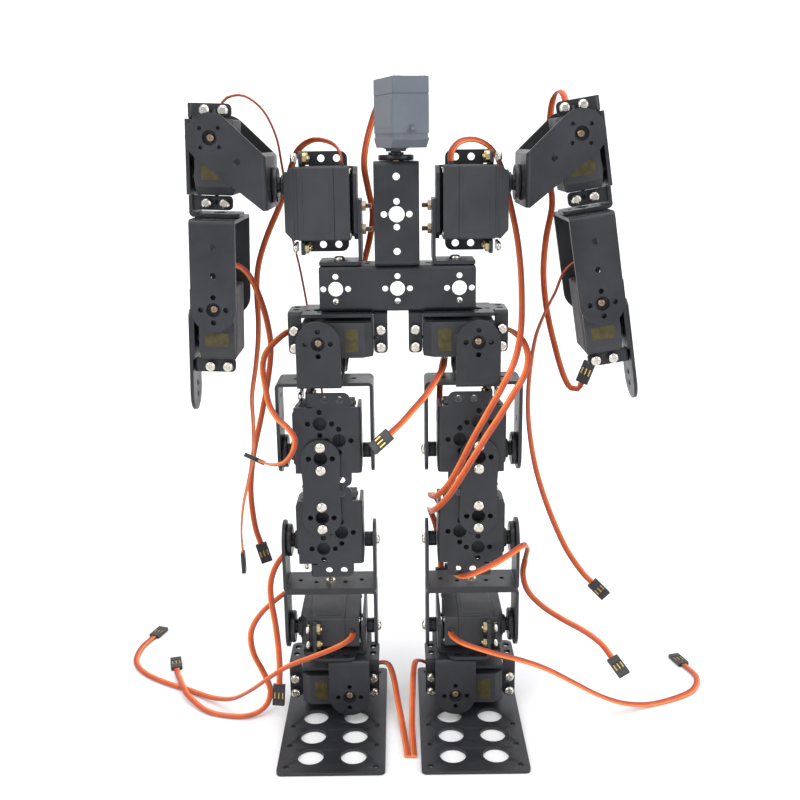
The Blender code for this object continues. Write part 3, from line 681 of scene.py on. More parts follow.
def make_beam():
    """Folded waist channel with three hub patterns on its front."""
    hb = 44.3
    prof = slab([bent([(12.5, 285.5), (-12.5, 285.5), (-12.5, 259.5), (12.5, 259.5)])],
                -hb, hb, FYZ)
    sil = slab([rrect(-hb, hb, 259.0, 286.0, (2.4,) * 4, 4)], -13, 13.5, FXZ)
    me = boolean(prof, [sil], "INTERSECT")
    cuts = []
    for hx in (-35.0, 0.0, 35.0):
        cuts.append(slab([circle(hx, 272.5, 4.2, 32)], -14, -9, FXZ))
        cuts.append(together([slab([circle(p, q, 1.7, 16)], -14, -9, FXZ)
                              for p, q in around(hx, 272.5)]))
    for hx in (-17.5, 17.5):
        cuts.append(slab([circle(hx, 0.0, 1.8, 16)], 280, 290))
        cuts.append(slab([circle(hx, 0.0, 1.8, 16)], 255, 263))
    for c in cuts:
        me = boolean(me, [c], "DIFFERENCE")
    return bevelled(me, 0.2, 2)


def make_chest():
    """Neck bracket: upright front plate, round tongues back over beam and horn."""
    prof = slab([bent([(12.5, 342.5), (-17, 342.5), (-17, 285.8), (12.5, 285.8)])],
                -12.5, 12.5, FYZ)
    sil = slab([[(-12.5, -18), (12.5, -18)] + arc(0, 0, 12.5, 0, 180, 24)], 280, 350)
    me = boolean(prof, [sil], "INTERSECT")
    zc = (CHEST_Z0 + CHEST_Z1) / 2
    cuts = [slab([circle(0, zc, 4.4, 32)], -19, -13, FXZ),
            together([slab([circle(p, q, 1.8, 16)], -19, -13, FXZ) for p, q in around(0, zc)]),
            together([slab([circle(0, q, 2.0, 18)], -19, -13, FXZ)
                      for q in (CHEST_Z1 - 8, CHEST_Z0 + 8)]),
            slab([circle(0, 0, 4.0, 28)], 339, 344),
            together([slab([circle(p, q, 1.5, 14)], 339, 344) for p, q in around(0, 0)])]
    for c in cuts:
        me = boolean(me, [c], "DIFFERENCE")
    return bevelled(me, 0.2, 2)


def make_angle(pts, a0, a1, f, cuts, r=2.6):
    me = slab([bent(pts, 2.0, r)], a0, a1, f)
    for c in cuts:
        me = boolean(me, [c], "DIFFERENCE")
    return bevelled(me, 0.2, 2)


def make_plate(loops, c0, c1, f, width=0.3):
    return bevelled(slab(loops, c0, c1, f), width, 2)


SERVO = make_servo()
CASE_SCREWS = make_case_screws()
HORN = make_horn()
BRACKET = make_servo_bracket()
BRACKET_IN = make_servo_bracket(True)
U_ELBOW = make_u(49.0)
U_HIP = make_u(Z_HIPROLL - Z_HIPYOKE)
U_THIGH = make_u(Z_HIPYOKE - 0.3 - Z_HIP)
U_SHIN = make_u((Z_KNEE - Z_ANKLE) / 2.0, False)
U_ANKLE = make_u(Z_ANKLE - 15.0 - 0.3 - Z_FOOT)
EAR0 = CASE_L / 2 + CASE_U0 - EAR_L / 2
EAR_SPOTS = [(EAR0 + 2.6, -5.0), (EAR0 + 2.6, 5.0), (EAR0 + EAR_L - 2.6, -5.0),
             (EAR0 + EAR_L - 2.6, 5.0)]
STICKER = bevelled(slab([rrect(14.6, 22.2, -6.6, 6.6, (0.8,) * 4, 4)], 36.45, 36.62), 0.04, 1)
# ear screws: heads on the ears' outer side, nuts behind the bracket's flanges
EAR_SCREWS = joined([(SCREW, frm((a, b, EAR_W0 + EAR_T), (1, 0, 0), (0, 1, 0), (0, 0, 1)))
                     for a, b in EAR_SPOTS])
EAR_NUTS = joined([(x, frm((a, b, 26.0), (1, 0, 0), (0, -1, 0), (0, 0, -1)))
                   for a, b in EAR_SPOTS for x in (NUT, TAIL)])
# pivot at the case bottom's side: bolt through the rear plate and the arm
PIVOT = joined([(SCREW_BIG, frm((0, 0, ARM_IN_W - 2.0), (1, 0, 0), (0, -1, 0), (0, 0, -1))),
                (lathe([(0, ARM_IN_W - 1.0), (1.9, ARM_IN_W - 1.0), (1.9, -4.3), (0, -4.3)], ONE, 20), ONE),
                ])
PIVOT_RING = bevelled(lathe([(0, ARM_IN_W + 0.2), (4.6, ARM_IN_W + 0.2), (4.6, -4.4), (0, -4.4)],
                            ONE, 32), 0.3, 2)
HORN_BOLT = joined([(HORN_SCREW, frm((0, 0, 42.35), (1, 0, 0), (0, 1, 0), (0, 0, 1)))])
ARM_SCREWS = joined([(SCREW_SMALL, frm((p, q, 45.6), (1, 0, 0), (0, 1, 0), (0, 0, 1)))
                     for p, q in around(0, 0)[2:]])


def servo_set(name, m, body, sticker=False, mat="plastic"):
    """Servo with case screws and its blank label."""
    piece(name + "_case", SERVO, m, mat, body, name)
    piece(name + "_case_screws", CASE_SCREWS, m, "nickel", body)
    if sticker:
        piece(name + "_sticker", STICKER, m, "sticker", body)


def bracket_set(name, m, body, turn_in=False):
    """Bracket with the screws and nuts through the servo's ears."""
    piece(name + "_sheet", BRACKET_IN if turn_in else BRACKET, m, "bracket", body, name)
    piece(name + "_screws", EAR_SCREWS, m, "nickel", body)
    piece(name + "_nuts", EAR_NUTS, m, "brass", body)


def horn_set(name, m, body, pivot=True):
    """Horn disc, its screw, and the idle pivot on the other side."""
    piece(name + "_horn", HORN, m, "horn", body)
    piece(name + "_horn_screw", HORN_BOLT, m, "copper", body)
    if pivot:
        piece(name + "_pivot", PIVOT_RING, m, "bracket", body)
        piece(name + "_pivot_screw", PIVOT, m, "nickel", body)


def screws(name, spots, mesh, mat, body, m=ONE):
    piece(name, joined([(mesh, m @ s) for s in spots]), ONE, mat, body)


def at(o, out):
    """Frame at o whose third axis points along out."""
    w = Vector(out).normalized()
    ref = Vector((0, 0, 1)) if abs(w.z) < 0.9 else Vector((1, 0, 0))
    u = ref.cross(w).normalized()
    return frm(o, u, w.cross(u), w)


# ------------------------------------------------------------------- torso
piece("waist_beam_sheet", make_beam(), ONE, "bracket", "torso", "waist_beam")
piece("chest_bracket_sheet", make_chest(), ONE, "bracket", "torso", "chest_bracket")
screws("chest_beam_screws", [at((0, 0, 287.8), (0, 0, 1))], SCREW_BIG, "nickel", "torso")
screws("chest_beam_nut", [at((0, 0, 283.5), (0, 0, -1))], NUT, "nickel", "torso")
ya = math.radians(16.0)
HEAD_M = frm((0, 0, 386.1), (math.sin(ya), -math.cos(ya), 0), (math.cos(ya), math.sin(ya), 0), (0, 0, -1))
servo_set("head_servo", HEAD_M, "head", mat="plastic_bare")
NECK_M = frm((0, 0, 386.1), (0, -1, 0), (1, 0, 0), (0, 0, -1))
piece("neck_horn", HORN, NECK_M, "horn", "torso")
piece("neck_horn_screw", HORN_BOLT, NECK_M, "copper", "torso")
screws("neck_screws", [at((p, q, 340.5), (0, 0, -1)) for p, q in around(0, 0)[:2]], SCREW_SMALL,
       "nickel", "torso")

for side, s in (("left", 1.0), ("right", -1.0)):
    S = side_m(s)
    n = side + "_"
    # ---- shoulder angle, servo and its bracket
    ang = make_angle([(44, 285.8), (19.7, 285.8), (19.7, 322)][::-1], -12, 12,
                     frm((0, 0, 0), (1, 0, 0), (0, 0, 1), (0, 1, 0)),
                     [slab([circle(33, 0, 1.8, 16)], 284, 290),
                      together([slab([circle(0, z, 1.8, 16)], 17, 23, FYZ) for z in (305, 318)]),
                      slab([circle(0, 295.5, 3.0, 24)], 17, 23, FYZ)])
    piece(n + "shoulder_angle_sheet", ang, S, "bracket", "torso", n + "shoulder_angle")
    screws(n + "shoulder_angle_screw", [at((33, 0, 287.8), (0, 0, 1))], SCREW_BIG, "nickel", "torso", S)
    screws(n + "shoulder_angle_nut", [at((33, 0, 283.5), (0, 0, -1))], NUT, "nickel", "torso", S)
    longs = [at((19.7, 0, z), (-1, 0, 0)) for z in (318.0, 305.0)]
    piece(n + "shoulder_long_screws",
          joined([(make_shank(1.5, 0.0, 5.6), S @ f) for f in longs] + [(NUT, S @ f) for f in longs]),
          ONE, "copper", "torso")
    m = S @ frm((SH_CASE_X, 0, Z_SHOULDER), (0, 0, -1), (0, -1, 0), (1, 0, 0))
    servo_set(n + "shoulder_servo", m, "torso")
    bracket_set(n + "shoulder_servo_bracket", m, "torso")
    piece(n + "shoulder_yoke_sheet", make_shoulder_yoke(), S, "bracket", n + "shoulder",
          n + "shoulder_yoke")
    piece(n + "shoulder_horn", HORN, m, "horn", n + "shoulder")
    piece(n + "shoulder_horn_screw", HORN_BOLT, m, "copper", n + "shoulder")

    # ---- hip roll servo under the beam
    m = S @ frm((X_HIP, 17.1, Z_HIPROLL), (-1, 0, 0), (0, 0, -1), (0, -1, 0))
    servo_set(n + "hip_roll_servo", m, "torso", True)
    bracket_set(n + "hip_roll_servo_bracket", m, "torso")
    horn_set(n + "hip_roll", m, n + "hip")
    screws(n + "hip_beam_screws", [at((x, y, 261.5), (0, 0, 1)) for x, y in ((24.2, -3.0), (34.5, 8.0))],
           SCREW, "nickel", "torso", S)

    # ---- arm
    roll = math.radians(-9.0 if s > 0 else 2.0)
    pivot = Vector((s * X_ARM, 0, Z_ROLL))
    R = Matrix.Translation(pivot) @ Matrix.Rotation(roll, 4, "Y") @ Matrix.Translation(-pivot)
    fr = S @ frm((X_ARM, U_MID, Z_ROLL), (0, 0, -1), (-1, 0, 0), (0, -1, 0))
    horn_set(n + "shoulder_roll", fr, n + "shoulder")
    m = R @ fr
    servo_set(n + "upper_arm_servo", m, n + "upper_arm", True)
    bracket_set(n + "upper_arm_servo_bracket", m, n + "upper_arm", True)
    # elbow yoke, its base on the turned-in leaf
    mu = R @ S @ frm((X_ARM, 0, Z_ELBOW), (0, -1, 0), (0, 0, 1), (-1, 0, 0))
    piece(n + "elbow_yoke_sheet", U_ELBOW, mu, "bracket", n + "upper_arm", n + "elbow_yoke")
    screws(n + "elbow_yoke_screws", [at((0, 42.0, 0), (0, -1, 0))], SCREW, "nickel", n + "upper_arm",
           mu @ Matrix.Translation((0, 5.0, 0)))
    m = R @ S @ frm((X_ARM, U_MID, Z_ELBOW), (0, 0, -1), (-1, 0, 0), (0, -1, 0))
    horn_set(n + "elbow", m, n + "upper_arm")
    servo_set(n + "elbow_servo", m, n + "forearm", True)
    bracket_set(n + "elbow_servo_bracket", m, n + "forearm")
    blade = make_plate([arc(0, 212.5, 12.5, 180, 360, 20)
                        + [(12.5, 258.0), (9.5, 261.0), (-9.5, 261.0), (-12.5, 258.0)],
                        circle(0, 209.0, 1.8, 16), circle(0, 216.0, 1.8, 16),
                        circle(0, 243.0, 4.0, 28)], X_ARM + 15.3, X_ARM + 17.3, FYZ)
    mb = R @ S
    piece(n + "hand_blade_sheet", blade, mb, "bracket", n + "forearm", n + "hand_blade")
    screws(n + "hand_blade_screws", [at((X_ARM + 15.1, y, z), (-1, 0, 0)) for y, z in ((-3, 255.5),)],
           SCREW_SMALL, "nickel", n + "forearm", mb)

    # ---- leg
    m = S @ frm((X_HIP, 0, Z_HIPROLL), (0, -1, 0), (0, 0, -1), (-1, 0, 0))
    piece(n + "hip_roll_yoke_sheet", U_HIP, m, "bracket", n + "hip", n + "hip_roll_yoke")
    mt = S @ frm((X_LEG, 0, Z_HIP), (1, 0, 0), (0, 0, 1), (0, 1, 0))
    piece(n + "thigh_yoke_sheet", U_THIGH, mt, "bracket", n + "hip", n + "thigh_yoke")
    screws(n + "hip_link_screws", [at((X_LEG + d, 0, 220.3), (0, 0, 1)) for d in (-7.0, 7.0)],
           SCREW, "nickel", n + "hip", S)
    screws(n + "hip_link_nuts", [at((X_LEG + d, 0, 216.0), (0, 0, -1)) for d in (-7.0, 7.0)],
           NUT, "nickel", n + "hip", S)
    x0 = X_LEG - U_MID
    m = S @ frm((x0, 0, Z_HIP), (0, 0, 1), (0, 1, 0), (1, 0, 0))
    horn_set(n + "hip_pitch", m, n + "hip")
    servo_set(n + "hip_pitch_servo", m, n + "thigh")
    bracket_set(n + "hip_pitch_servo_bracket", m, n + "thigh")
    m = S @ frm((x0, 0, Z_KNEE), (0, 0, 1), (0, 1, 0), (1, 0, 0))
    servo_set(n + "knee_servo", m, n + "thigh")
    bracket_set(n + "knee_servo_bracket", m, n + "thigh")
    horn_set(n + "knee", m, n + "shin")
    xl, zt, zb = x0 + 20.0, Z_HIP, Z_KNEE + 20.6
    link_plate = make_plate([arc(xl, zb, 11.5, 180, 360, 20) + [(xl + 10.9, (zt + zb) / 2)]
                             + arc(xl, zt, 11.5, 0, 180, 20) + [(xl - 10.9, (zt + zb) / 2)],
                             circle(xl, zb, 4.0, 28), circle(xl, zt, 4.0, 28)]
                            + [circle(p, q, 1.6, 14) for z in (zb, zt) for p, q in around(xl, z)[:2]],
                            -17.3, -15.3, FXZ)
    piece(n + "thigh_link_sheet", link_plate, S, "bracket", n + "thigh", n + "thigh_link")
    screws(n + "thigh_link_screws", [at((xl, -17.3, z + d), (0, -1, 0)) for z in (zb, zt)
                                     for d in (-7.0, 7.0)], SCREW_BIG, "nickel", n + "thigh", S)

    # shin: two U brackets bolted base to base
    half_l = (Z_KNEE - Z_ANKLE) / 2.0
    lo = S @ frm((X_LEG, 0, Z_ANKLE), (1, 0, 0), (0, 0, 1), (0, 1, 0))
    up = S @ frm((X_LEG, 0, Z_KNEE), (1, 0, 0), (0, 0, -1), (0, -1, 0))
    shin = joined([(U_SHIN, lo), (U_SHIN, up)])
    piece(n + "shin_yokes_sheet", shin, ONE, "bracket", n + "shin", n + "shin_double_yoke")
    zm = Z_ANKLE + half_l
    top = at((X_LEG, -4.0, zm + 2.0), (0, 0, 1))
    piece(n + "shin_bolt", joined([(NUT, S @ top), (make_shank(1.5, 0.0, 6.6), S @ top),
                                   (SCREW, S @ at((X_LEG, -4.0, zm - 2.0), (0, 0, -1)))]),
          ONE, "nickel", n + "shin")
    m = S @ frm((x0, 0, Z_ANKLE), (0, 1, 0), (0, 0, 1), (1, 0, 0))
    horn_set(n + "ankle_pitch", m, n + "shin")
    servo_set(n + "ankle_pitch_servo", m, n + "ankle")
    bracket_set(n + "ankle_pitch_servo_bracket", m, n + "ankle")
    m = S @ frm((X_FOOT, Y_FOOT, Z_FOOT), (0, -1, 0), (0, 0, 1), (-1, 0, 0))
    piece(n + "ankle_roll_yoke_sheet", U_ANKLE, m, "bracket", n + "ankle",
          n + "ankle_roll_yoke")

    # ---- foot
    m = S @ frm((X_FOOT, Y_FOOT + U_MID, Z_FOOT), (1, 0, 0), (0, 0, -1), (0, -1, 0))
    horn_set(n + "ankle_roll", m, n + "ankle")
    servo_set(n + "foot_servo", m, n + "foot", True)
    bracket_set(n + "foot_servo_bracket", m, n + "foot")
    heel = make_angle([(8, 2.3), (33.7, 2.3), (33.7, 27)], 40, 62,
                      frm((0, 0, 0), (0, 1, 0), (0, 0, 1), (1, 0, 0)),
                      [together([slab([circle(x, 20.0, 1.7, 16)], 30, 35, FXZ) for x in (45.0, 57.0)])])
    piece(n + "foot_angle_sheet", heel, S, "bracket", n + "foot", n + "foot_angle")
    sole_loops = [rrect(10.5, 73.5, -72, 46, (3,) * 4, 5)]
    for hx in (29.3, 54.7):
        for hy in (-56.0, -35.0, -14.0):
            sole_loops.append(circle(hx, hy, 7.75, 40))
    sole_loops += [circle(x, y, 1.7, 14) for x in (16.0, 68.0) for y in (-66.0, -45.0, -24.0, 40.0)]
    piece(n + "foot_plate_sheet", make_plate(sole_loops, 0.0, 2.0, ONE), S, "bracket", n + "foot",
          n + "foot_plate")
    screws(n + "foot_angle_screws", [at((x, 20, 4.3), (0, 0, 1)) for x in (45.0, 57.0)], SCREW_SMALL,
           "nickel", n + "foot", S)


# ------------------------------------------------------------------- leads
def smooth_path(points, step):
    p = [Vector(q) for q in points]
    p = [p[0] * 2 - p[1]] + p + [p[-1] * 2 - p[-2]]
    out = []
    for i in range(1, len(p) - 2):
        n = max(1, int(round((p[i + 1] - p[i]).length / step)))
        for k in range(n):
            t = k / n
            out.append(0.5 * ((2 * p[i]) + (p[i + 1] - p[i - 1]) * t
                              + (2 * p[i - 1] - 5 * p[i] + 4 * p[i + 1] - p[i + 2]) * t * t
                              + (3 * p[i] - p[i - 1] - 3 * p[i + 1] + p[i + 2]) * t ** 3))
    out.append(p[-2])
    return out


RIBBON_R, RIBBON_GAP = 0.66, 1.22


def ribbon_section():
    """Outline of three wires side by side, and which wire each edge is on."""
    t0 = math.acos(RIBBON_GAP / 2 / RIBBON_R)
    pts, wire = [], []

    def add(c, a0, a1, n, w):
        for i in range(n):
            a = a0 + (a1 - a0) * i / n
            pts.append((c + RIBBON_R * math.cos(a), RIBBON_R * math.sin(a)))
            wire.append(w)
    pi = math.pi
    add(RIBBON_GAP, -pi + t0, pi - t0, 10, 0)
    add(0.0, t0, pi - t0, 4, 1)
    add(-RIBBON_GAP, t0, 2 * pi - t0, 10, 2)
    add(0.0, pi + t0, 2 * pi - t0, 4, 1)
    return pts, wire


SECTION, SECTION_WIRE = ribbon_section()


def make_plug():
    """Three-way plug body along +a, width b, thickness c, with its windows."""
    me = bevelled(block((-0.6, 13.4), (-3.8, 3.8), (-1.3, 1.3)), 0.3, 2)
    o = me
    win = together([block((4.0, 9.5), (b - 0.75, b + 0.75), (0.75, 2.0)) for b in (-2.45, 0.0, 2.45)]
                   + [block((12.4, 14.2), (b - 0.6, b + 0.6), (-0.6, 0.6)) for b in (-2.45, 0.0, 2.45)])
    return boolean(o, [win], "DIFFERENCE")


PLUG = shade(make_plug())
GOLD = together([bevelled(block((4.6, 9.0), (b - 0.5, b + 0.5), (0.45, 0.95)), 0.1, 1)
                 for b in (-2.45, 0.0, 2.45)])


def lead(name, points, body, node=None, side0=None, flat_end=False, plug=True,
         twist=0.0, step=3.2,
         face=(0.0, -0.8, 0.6)):
    """Flat three-wire servo lead through the given points, in millimetres."""
    path = smooth_path(points, step)
    n = len(path)
    tan = []
    for i in range(n):
        d = path[min(i + 1, n - 1)] - path[max(i - 1, 0)]
        tan.append(d.normalized())
    # the ribbon's width direction is carried along the path from one end
    order = range(n - 1, -1, -1) if flat_end else range(n)
    first = n - 1 if flat_end else 0
    if flat_end:
        start = tan[first].cross(Vector((0, 0, 1)))
    else:
        start = Vector(side0) if side0 else tan[first].cross(Vector((0, 0, 1)))
    if start.length < 0.2:
        start = Vector((1, 0, 0))
    width = [None] * n
    cur = start
    for i in order:
        if face:
            # flat side held towards the front and up
            want = tan[i].cross(Vector(face))
            if want.dot(cur) < 0:
                want = -want
            if want.length > 0.35:
                k = 0.45 * min(1.0, abs(i - first) / 8.0)
                cur = cur * (1 - k) + want.normalized() * k
        cur = (cur - tan[i] * cur.dot(tan[i])).normalized()
        width[i] = cur
    length = sum((b - a).length for a, b in zip(path, path[1:]))
    run = 0.0
    bm = bmesh.new()
    rings = []
    for i in range(n):
        if i:
            run += (path[i] - path[i - 1]).length
        a = math.radians(twist) * ((1 - run / length) if flat_end else run / length)
        w = Matrix.Rotation(a, 3, tan[i]) @ width[i]
        if i == n - 1:
            end_w = w
        h = tan[i].cross(w)
        rings.append([bm.verts.new(path[i] + w * x + h * y) for x, y in SECTION])
    k = len(SECTION)
    for lo, hi in zip(rings, rings[1:]):
        for j in range(k):
            f = bm.faces.new((lo[j], lo[(j + 1) % k], hi[(j + 1) % k], hi[j]))
            f.material_index = SECTION_WIRE[j]
            f.smooth = True
    bm.faces.new(list(reversed(rings[0])))
    bm.faces.new(rings[-1])
    me = bm_mesh(bm)
    me.set_sharp_from_angle(angle=math.radians(50))
    o = piece(name, me, ONE, ["orange", "red", "brown"], body, node)
    if plug:
        pm = frm(path[-1], tan[-1], end_w, tan[-1].cross(end_w))
        if pm[2][2] < 0:
            pm = frm(path[-1], tan[-1], -end_w, tan[-1].cross(-end_w))
        piece(name + "_plug", PLUG, pm, "plug", body)
        piece(name + "_plug_contacts", GOLD, pm, "gold", body)
    return o


def low(points, z=1.55, end=1.45):
    """Drops the stretch that lies on the floor to the ribbon's own height."""
    out = [(a, b, z if c < 2.5 else c) for a, b, c in points]
    if out[-1][2] == z:
        out[-1] = (*out[-1][:2], end)
    return out


lead("right_elbow_lead_ribbon", [
    (-101.4, 13, 274.6), (-101.2, 13, 279), (-96, 14.5, 284), (-88, 19, 277), (-82.5, 27, 259),
    (-80.5, 38, 241), (-81, 47.5, 225), (-84.5, 52, 204), (-90, 53, 180), (-96, 52.5, 155),
    (-99, 52, 130), (-97.5, 52, 106), (-94, 52, 92)], "right_forearm", "right_elbow_lead",
     (1, 0, 0))
lead("right_ankle_lead_ribbon", low([
    (-30.4, -10.5, 58), (-31, -16, 58), (-36, -22.5, 57), (-46, -26, 54), (-58, -27.5, 50),
    (-70, -27.5, 45), (-82, -25, 36), (-94, -18, 24), (-108, -6, 11), (-124, 8, 3.4),
    (-142, 21, 1.8), (-160, 31, 1.8), (-177, 44, 1.8), (-187, 60, 1.8), (-188, 80, 1.8),
    (-183, 97, 1.8)]), "right_ankle", "right_ankle_lead", flat_end=True,
     face=(0.0, -0.35, 0.94))
lead("left_ankle_lead_ribbon", low([
    (30.4, -10.5, 58), (31, -16, 58), (37, -23, 57), (48, -27.5, 55), (60, -29.5, 52),
    (73, -29, 48), (88, -27, 41), (105, -24, 30), (123, -18, 17), (141, -10, 6.5),
    (159, -3, 1.8), (177, 4, 1.8), (191, 14, 1.8), (198, 30, 1.8), (194, 47, 1.8)]),
     "left_ankle", "left_ankle_lead", flat_end=True,
     face=(0.0, -0.35, 0.94))


# the other leads hang free: 4 mm ribbons, most with a three-way plug
lead("head_lead_ribbon", [
    (-3.1, 10.6, 381.5), (-4.5, 16.0, 380.5), (-10.8, 18, 371.4), (-16.6, 17, 353.7),
    (-18.4, 16, 339.8), (-16.3, 20, 325.5), (-14.2, 26, 310.8), (-18, 32, 290), (-25, 35, 268),
    (-31, 36, 247), (-34, 36, 228)], "torso")
lead("right_upper_arm_lead_ribbon", [
    (-98.5, 12.5, 367.9), (-98.5, 12.5, 373), (-94.5, 12.5, 378), (-85, 13, 378.8), (-75, 14, 371),
    (-68.5, 16, 357), (-66.2, 18.5, 342), (-64.5, 22, 325), (-63, 27, 302), (-59, 33, 278),
    (-55, 35.5, 250), (-51, 36.5, 222), (-48, 36.5, 196), (-46, 36, 172), (-45, 36, 150)],
     "right_upper_arm", side0=(0, 1, 0), face=None)
lead("left_upper_arm_lead_ribbon", [
    (96.7, 12.5, 368.0), (96.0, 13, 374), (94.5, 17, 379), (92.3, 23.5, 379), (90.5, 28.5, 372),
    (89.8, 32, 355), (90, 33, 336), (93.0, 33, 316.2), (89.7, 32, 295.5), (88.5, 31, 274.5),
    (91.0, 30, 252.1), (96.7, 29, 228.6), (102.2, 28, 211.1), (106.7, 27, 203.7),
    (110.9, 26, 203.3), (113.1, 26, 207.8)], "left_upper_arm")
lead("left_shoulder_lead_ribbon", [
    (30.6, 0, 341.9), (31, 1, 347), (36, 5, 352.5), (45, 9, 353.5), (54, 14, 349), (60, 19, 340),
    (64, 23, 328), (70.6, 24, 301.0), (73.3, 22, 281.1), (73.7, 16, 264.0), (71.2, -4, 246.9),
    (65.5, -25, 233.1), (57.5, -33.5, 219.4), (49.5, -34, 204.8), (41.4, -33, 189.1),
    (34.8, -32, 174.9), (28, -28.5, 161), (22, -21, 152), (18.8, -10, 147.5), (18.8, 4, 144),
    (21.5, 17, 138), (27, 25, 125), (31, 28, 106), (32, 29, 86)], "torso")
lead("left_hip_roll_lead_ribbon", [
    (56.4, 12.5, 244.2), (61, 12.0, 245), (67, 6, 244), (72.5, -5, 240), (74, -17, 233),
    (70.9, -27, 225), (64.3, -33, 216), (56.9, -37, 205), (49.2, -39, 193.6), (42.2, -39, 181.9),
    (35.7, -37, 169.9), (28.5, -34, 157), (22, -26.5, 146.5), (18.2, -13, 139), (18, 2, 134.8),
    (18.5, 15.5, 129), (22, 23, 117), (25, 26, 100), (26, 27.5, 84)], "torso")
lead("left_elbow_lead_ribbon", [
    (111.1, 12.5, 276.6), (110.3, 12.6, 281.5), (104.5, 13, 283.5), (98, 15, 277), (94.0, 18, 265),
    (89.2, 21, 253.6), (84.0, 24, 237.9), (81.5, 28, 217.5), (80.6, 30, 196.5), (82.2, 32, 175.1),
    (87.1, 34, 149.2), (96.1, 36, 121.2), (107.8, 37, 94.2), (119.3, 38, 76.0), (127.0, 38, 67.4)],
     "left_forearm", side0=(0, 1, 0), face=None, twist=70.0)
n_plug = lead("left_hip_pitch_lead_ribbon", [
    (31, 0, 161.8), (30.8, 4, 158.5), (29.5, 13, 158), (27.5, 20, 163), (25.5, 23, 178),
    (25, 23, 198), (25.6, 21.5, 214), (27, 17, 224), (27.5, 8, 228.3), (26.8, -3, 228.6),
    (25.5, -12, 226), (21.1, -19, 220.5), (15.4, -21, 212.4), (8.0, -22, 204.1), (0.6, -22, 195.7),
    (-5.8, -22, 189.7)], "left_thigh")
lead("right_hip_roll_lead_ribbon", [
    (-56.4, 12.5, 244.2), (-61, 12.3, 245), (-66.5, 8, 244.0), (-73, 4, 239.1), (-77.9, 0, 233.4),
    (-79.6, -3, 225.4), (-78.0, -7, 215.1), (-75.5, -13, 206.1), (-70.5, -19, 199.3),
    (-64.5, -23, 195.1), (-60, -25, 188.3), (-61.9, -25, 179.8), (-66.8, -23, 173.7),
    (-73.4, -17, 170.4), (-79.1, -9, 168.5), (-84.2, -2, 168)], "torso",
     side0=(0, 0, 1), face=None, twist=40.0)
lead("right_shoulder_lead_ribbon", [
    (-30.6, 0, 341.9), (-31, 1, 347), (-36, 5, 352.5), (-46, 9, 354.5), (-55, 16, 350),
    (-60.5, 24, 341), (-65, 31, 329), (-70.5, 36, 316), (-76.9, 38, 303), (-82.3, 39, 290),
    (-85.6, 38, 277.6), (-86.8, 38, 262.4), (-86.5, 37, 247.4), (-87.3, 36, 232.5), (-89.5, 36, 216.9),
    (-92.8, 37, 198.0), (-93.0, 38, 178.7), (-94.2, 39.5, 159.7), (-98.2, 41, 141.7),
    (-102.9, 42, 123.1), (-105.0, 42, 105.7), (-104.8, 42, 90.1)], "torso", side0=(0, 1, 0),
     face=None, twist=110.0)
lead("right_hip_pitch_lead_ribbon", [
    (-31, 0, 161.8), (-31, 4, 158.5), (-32, 13, 156), (-37, 21, 150), (-44, 25, 138),
    (-54, 26, 124), (-63, 24, 112), (-69.8, 20, 103.0), (-76.4, 16, 97.0), (-80.5, 12, 90.9),
    (-82.5, 7, 83.3), (-81.8, 2, 73.9), (-79.3, -3, 61.8), (-77.5, -7, 47.2), (-77.0, -9, 33.5),
    (-77.6, -10, 22.4)], "right_thigh")
lead("right_knee_lead_ribbon", low([
    (-31, 0, 104.1), (-31.3, 4, 100.5), (-36, 12, 98), (-46, 19, 92), (-58, 21, 84), (-69, 20, 76),
    (-80.5, 15, 69), (-90.5, 10.5, 61), (-96.5, 7, 50), (-95, 4, 37), (-89, 1.5, 25), (-84.5, -1.5, 13),
    (-88.5, -7, 4.5), (-101, -11.5, 1.8), (-123.0, -6.1, 1.8), (-138.5, 7.9, 3.6),
    (-145, 19, 4.6), (-149.8, 30.4, 3.8), (-154.4, 43, 1.9), (-156.4, 50.0, 1.8)]), "right_thigh", flat_end=True,
     face=(0.0, -0.35, 0.94))
lead("left_knee_lead_ribbon", [
    (31, 0, 104.1), (31, -3.5, 99.5), (33.5, -12, 97.5), (38, -21, 100), (45, -26, 105),
    (55, -26, 110), (65, -23, 115), (73.5, -15, 117), (78, -3, 111), (78.5, 9, 99), (78, 17, 84),
    (82, 21, 70), (92, 22, 58.5), (105, 19, 50.5), (117.4, 13, 45.5), (127, 4, 41), (132.5, -6, 36)],
     "left_thigh")
lead("right_foot_lead_ribbon", low([
    (-21.3, 22.8, 18), (-17.5, 22.8, 18.2), (-12.5, 20.5, 20.5), (-8.2, 13, 22), (-5.2, 2, 17.5),
    (-3.2, -9, 10.5), (-1.0, -20, 4.4), (0.5, -32, 1.8), (1.8, -45, 1.8), (2.5, -56, 1.8)]),
     "right_foot", flat_end=True, plug=False,
     face=(0.0, -0.35, 0.94))
lead("left_foot_lead_ribbon", low([
    (21.3, 22.8, 18), (17.5, 22.8, 18.2), (12.5, 21, 21), (8.8, 13.5, 25), (7.2, 3, 24),
    (6.4, -8, 16.5), (5.8, -18, 8), (5.6, -29, 3.0), (6.0, -42, 1.8), (6.3, -56, 1.8)]),
     "left_foot", flat_end=True, plug=False,
     face=(0.0, -0.35, 0.94))


# ------------------------------------------------------- floor, lights, world
def stage_piece(o):
    return o


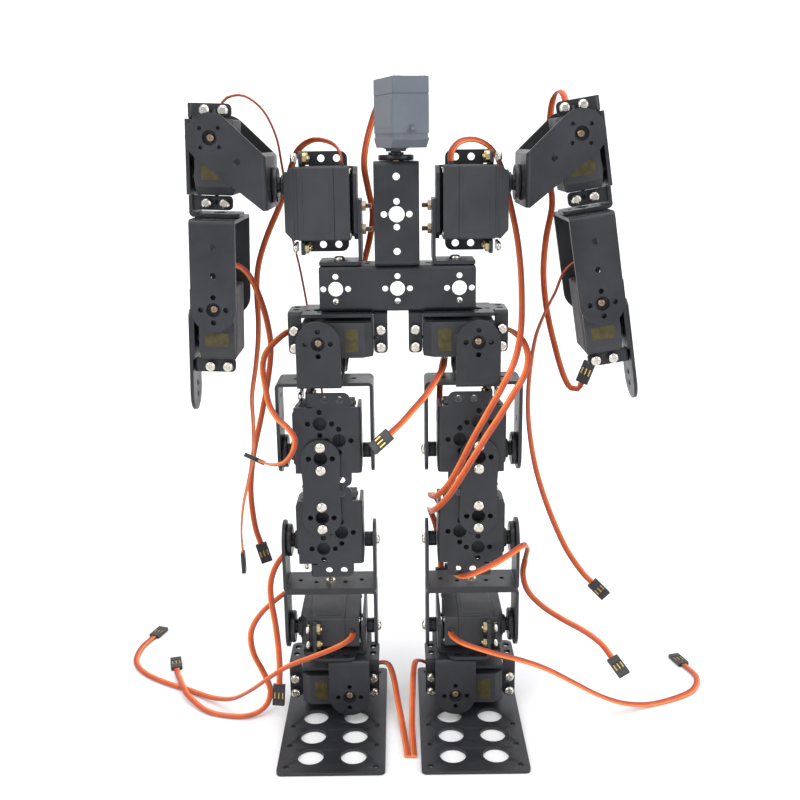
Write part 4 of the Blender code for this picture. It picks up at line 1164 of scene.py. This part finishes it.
mat, nt, b = nodes_of("floor_white")
f = noise(nt, 2.2, 3.0)
nt.links.new(ramp(nt, f, [(0.3, (0.80, 0.80, 0.80)), (0.7, (0.86, 0.86, 0.865))]), b.inputs["Base Color"])
b.inputs["Roughness"].default_value = 0.62
b.inputs["Specular IOR Level"].default_value = 0.25
M["floor"] = mat
bm = bmesh.new()
prof = [(-3.0, 0.0), (1.1, 0.0)] + [(1.1 + 0.8 * math.sin(math.radians(t)),
                                    0.8 - 0.8 * math.cos(math.radians(t))) for t in range(9, 91, 9)]
prof += [(1.9, 3.6)]
rows = [[bm.verts.new((x, y, z - 0.0002)) for x in (-4.0, 4.0)] for y, z in prof]
for lo, hi in zip(rows, rows[1:]):
    bm.faces.new((lo[0], lo[1], hi[1], hi[0]))
me = bpy.data.meshes.new("floor")
bm.to_mesh(me)
bm.free()
me.shade_smooth()
me.materials.append(mat)
floor = bpy.data.objects.new("floor", me)
bpy.context.scene.collection.objects.link(floor)


def area(name, loc, target, size, power, color=(1, 1, 1), size_y=None):
    d = bpy.data.lights.new(name, "AREA")
    d.energy = power
    d.color = color
    d.shape = "RECTANGLE" if size_y else "SQUARE"
    d.size = size
    if size_y:
        d.size_y = size_y
    o = bpy.data.objects.new(name, d)
    bpy.context.scene.collection.objects.link(o)
    o.location = loc
    o.rotation_euler = (Vector(target) - Vector(loc)).to_track_quat("-Z", "Y").to_euler()
    return o


area("overhead", (0.0, -0.15, 1.5), (0, 0, 0.15), 1.5, 17.0, (1.0, 0.99, 0.97))
area("front_left", (-1.1, -1.15, 0.9), (0, 0, 0.18), 0.9, 11.0, (1.0, 0.99, 0.98))
area("front_right", (1.2, -0.9, 0.75), (0, 0, 0.18), 0.8, 8.0, (0.97, 0.99, 1.0))
area("back_sheet", (0.0, 0.9, 1.5), (0, 1.6, 0.9), 1.6, 16.0)
world = bpy.data.worlds.new("world")
bpy.context.scene.world = world
world.use_nodes = True
world.node_tree.nodes["Background"].inputs["Color"].default_value = (0.93, 0.95, 1.0, 1.0)
world.node_tree.nodes["Background"].inputs["Strength"].default_value = 0.72
sc = bpy.context.scene
sc.view_settings.view_transform = "Standard"
sc.view_settings.look = "None"
sc.view_settings.exposure = 0.0
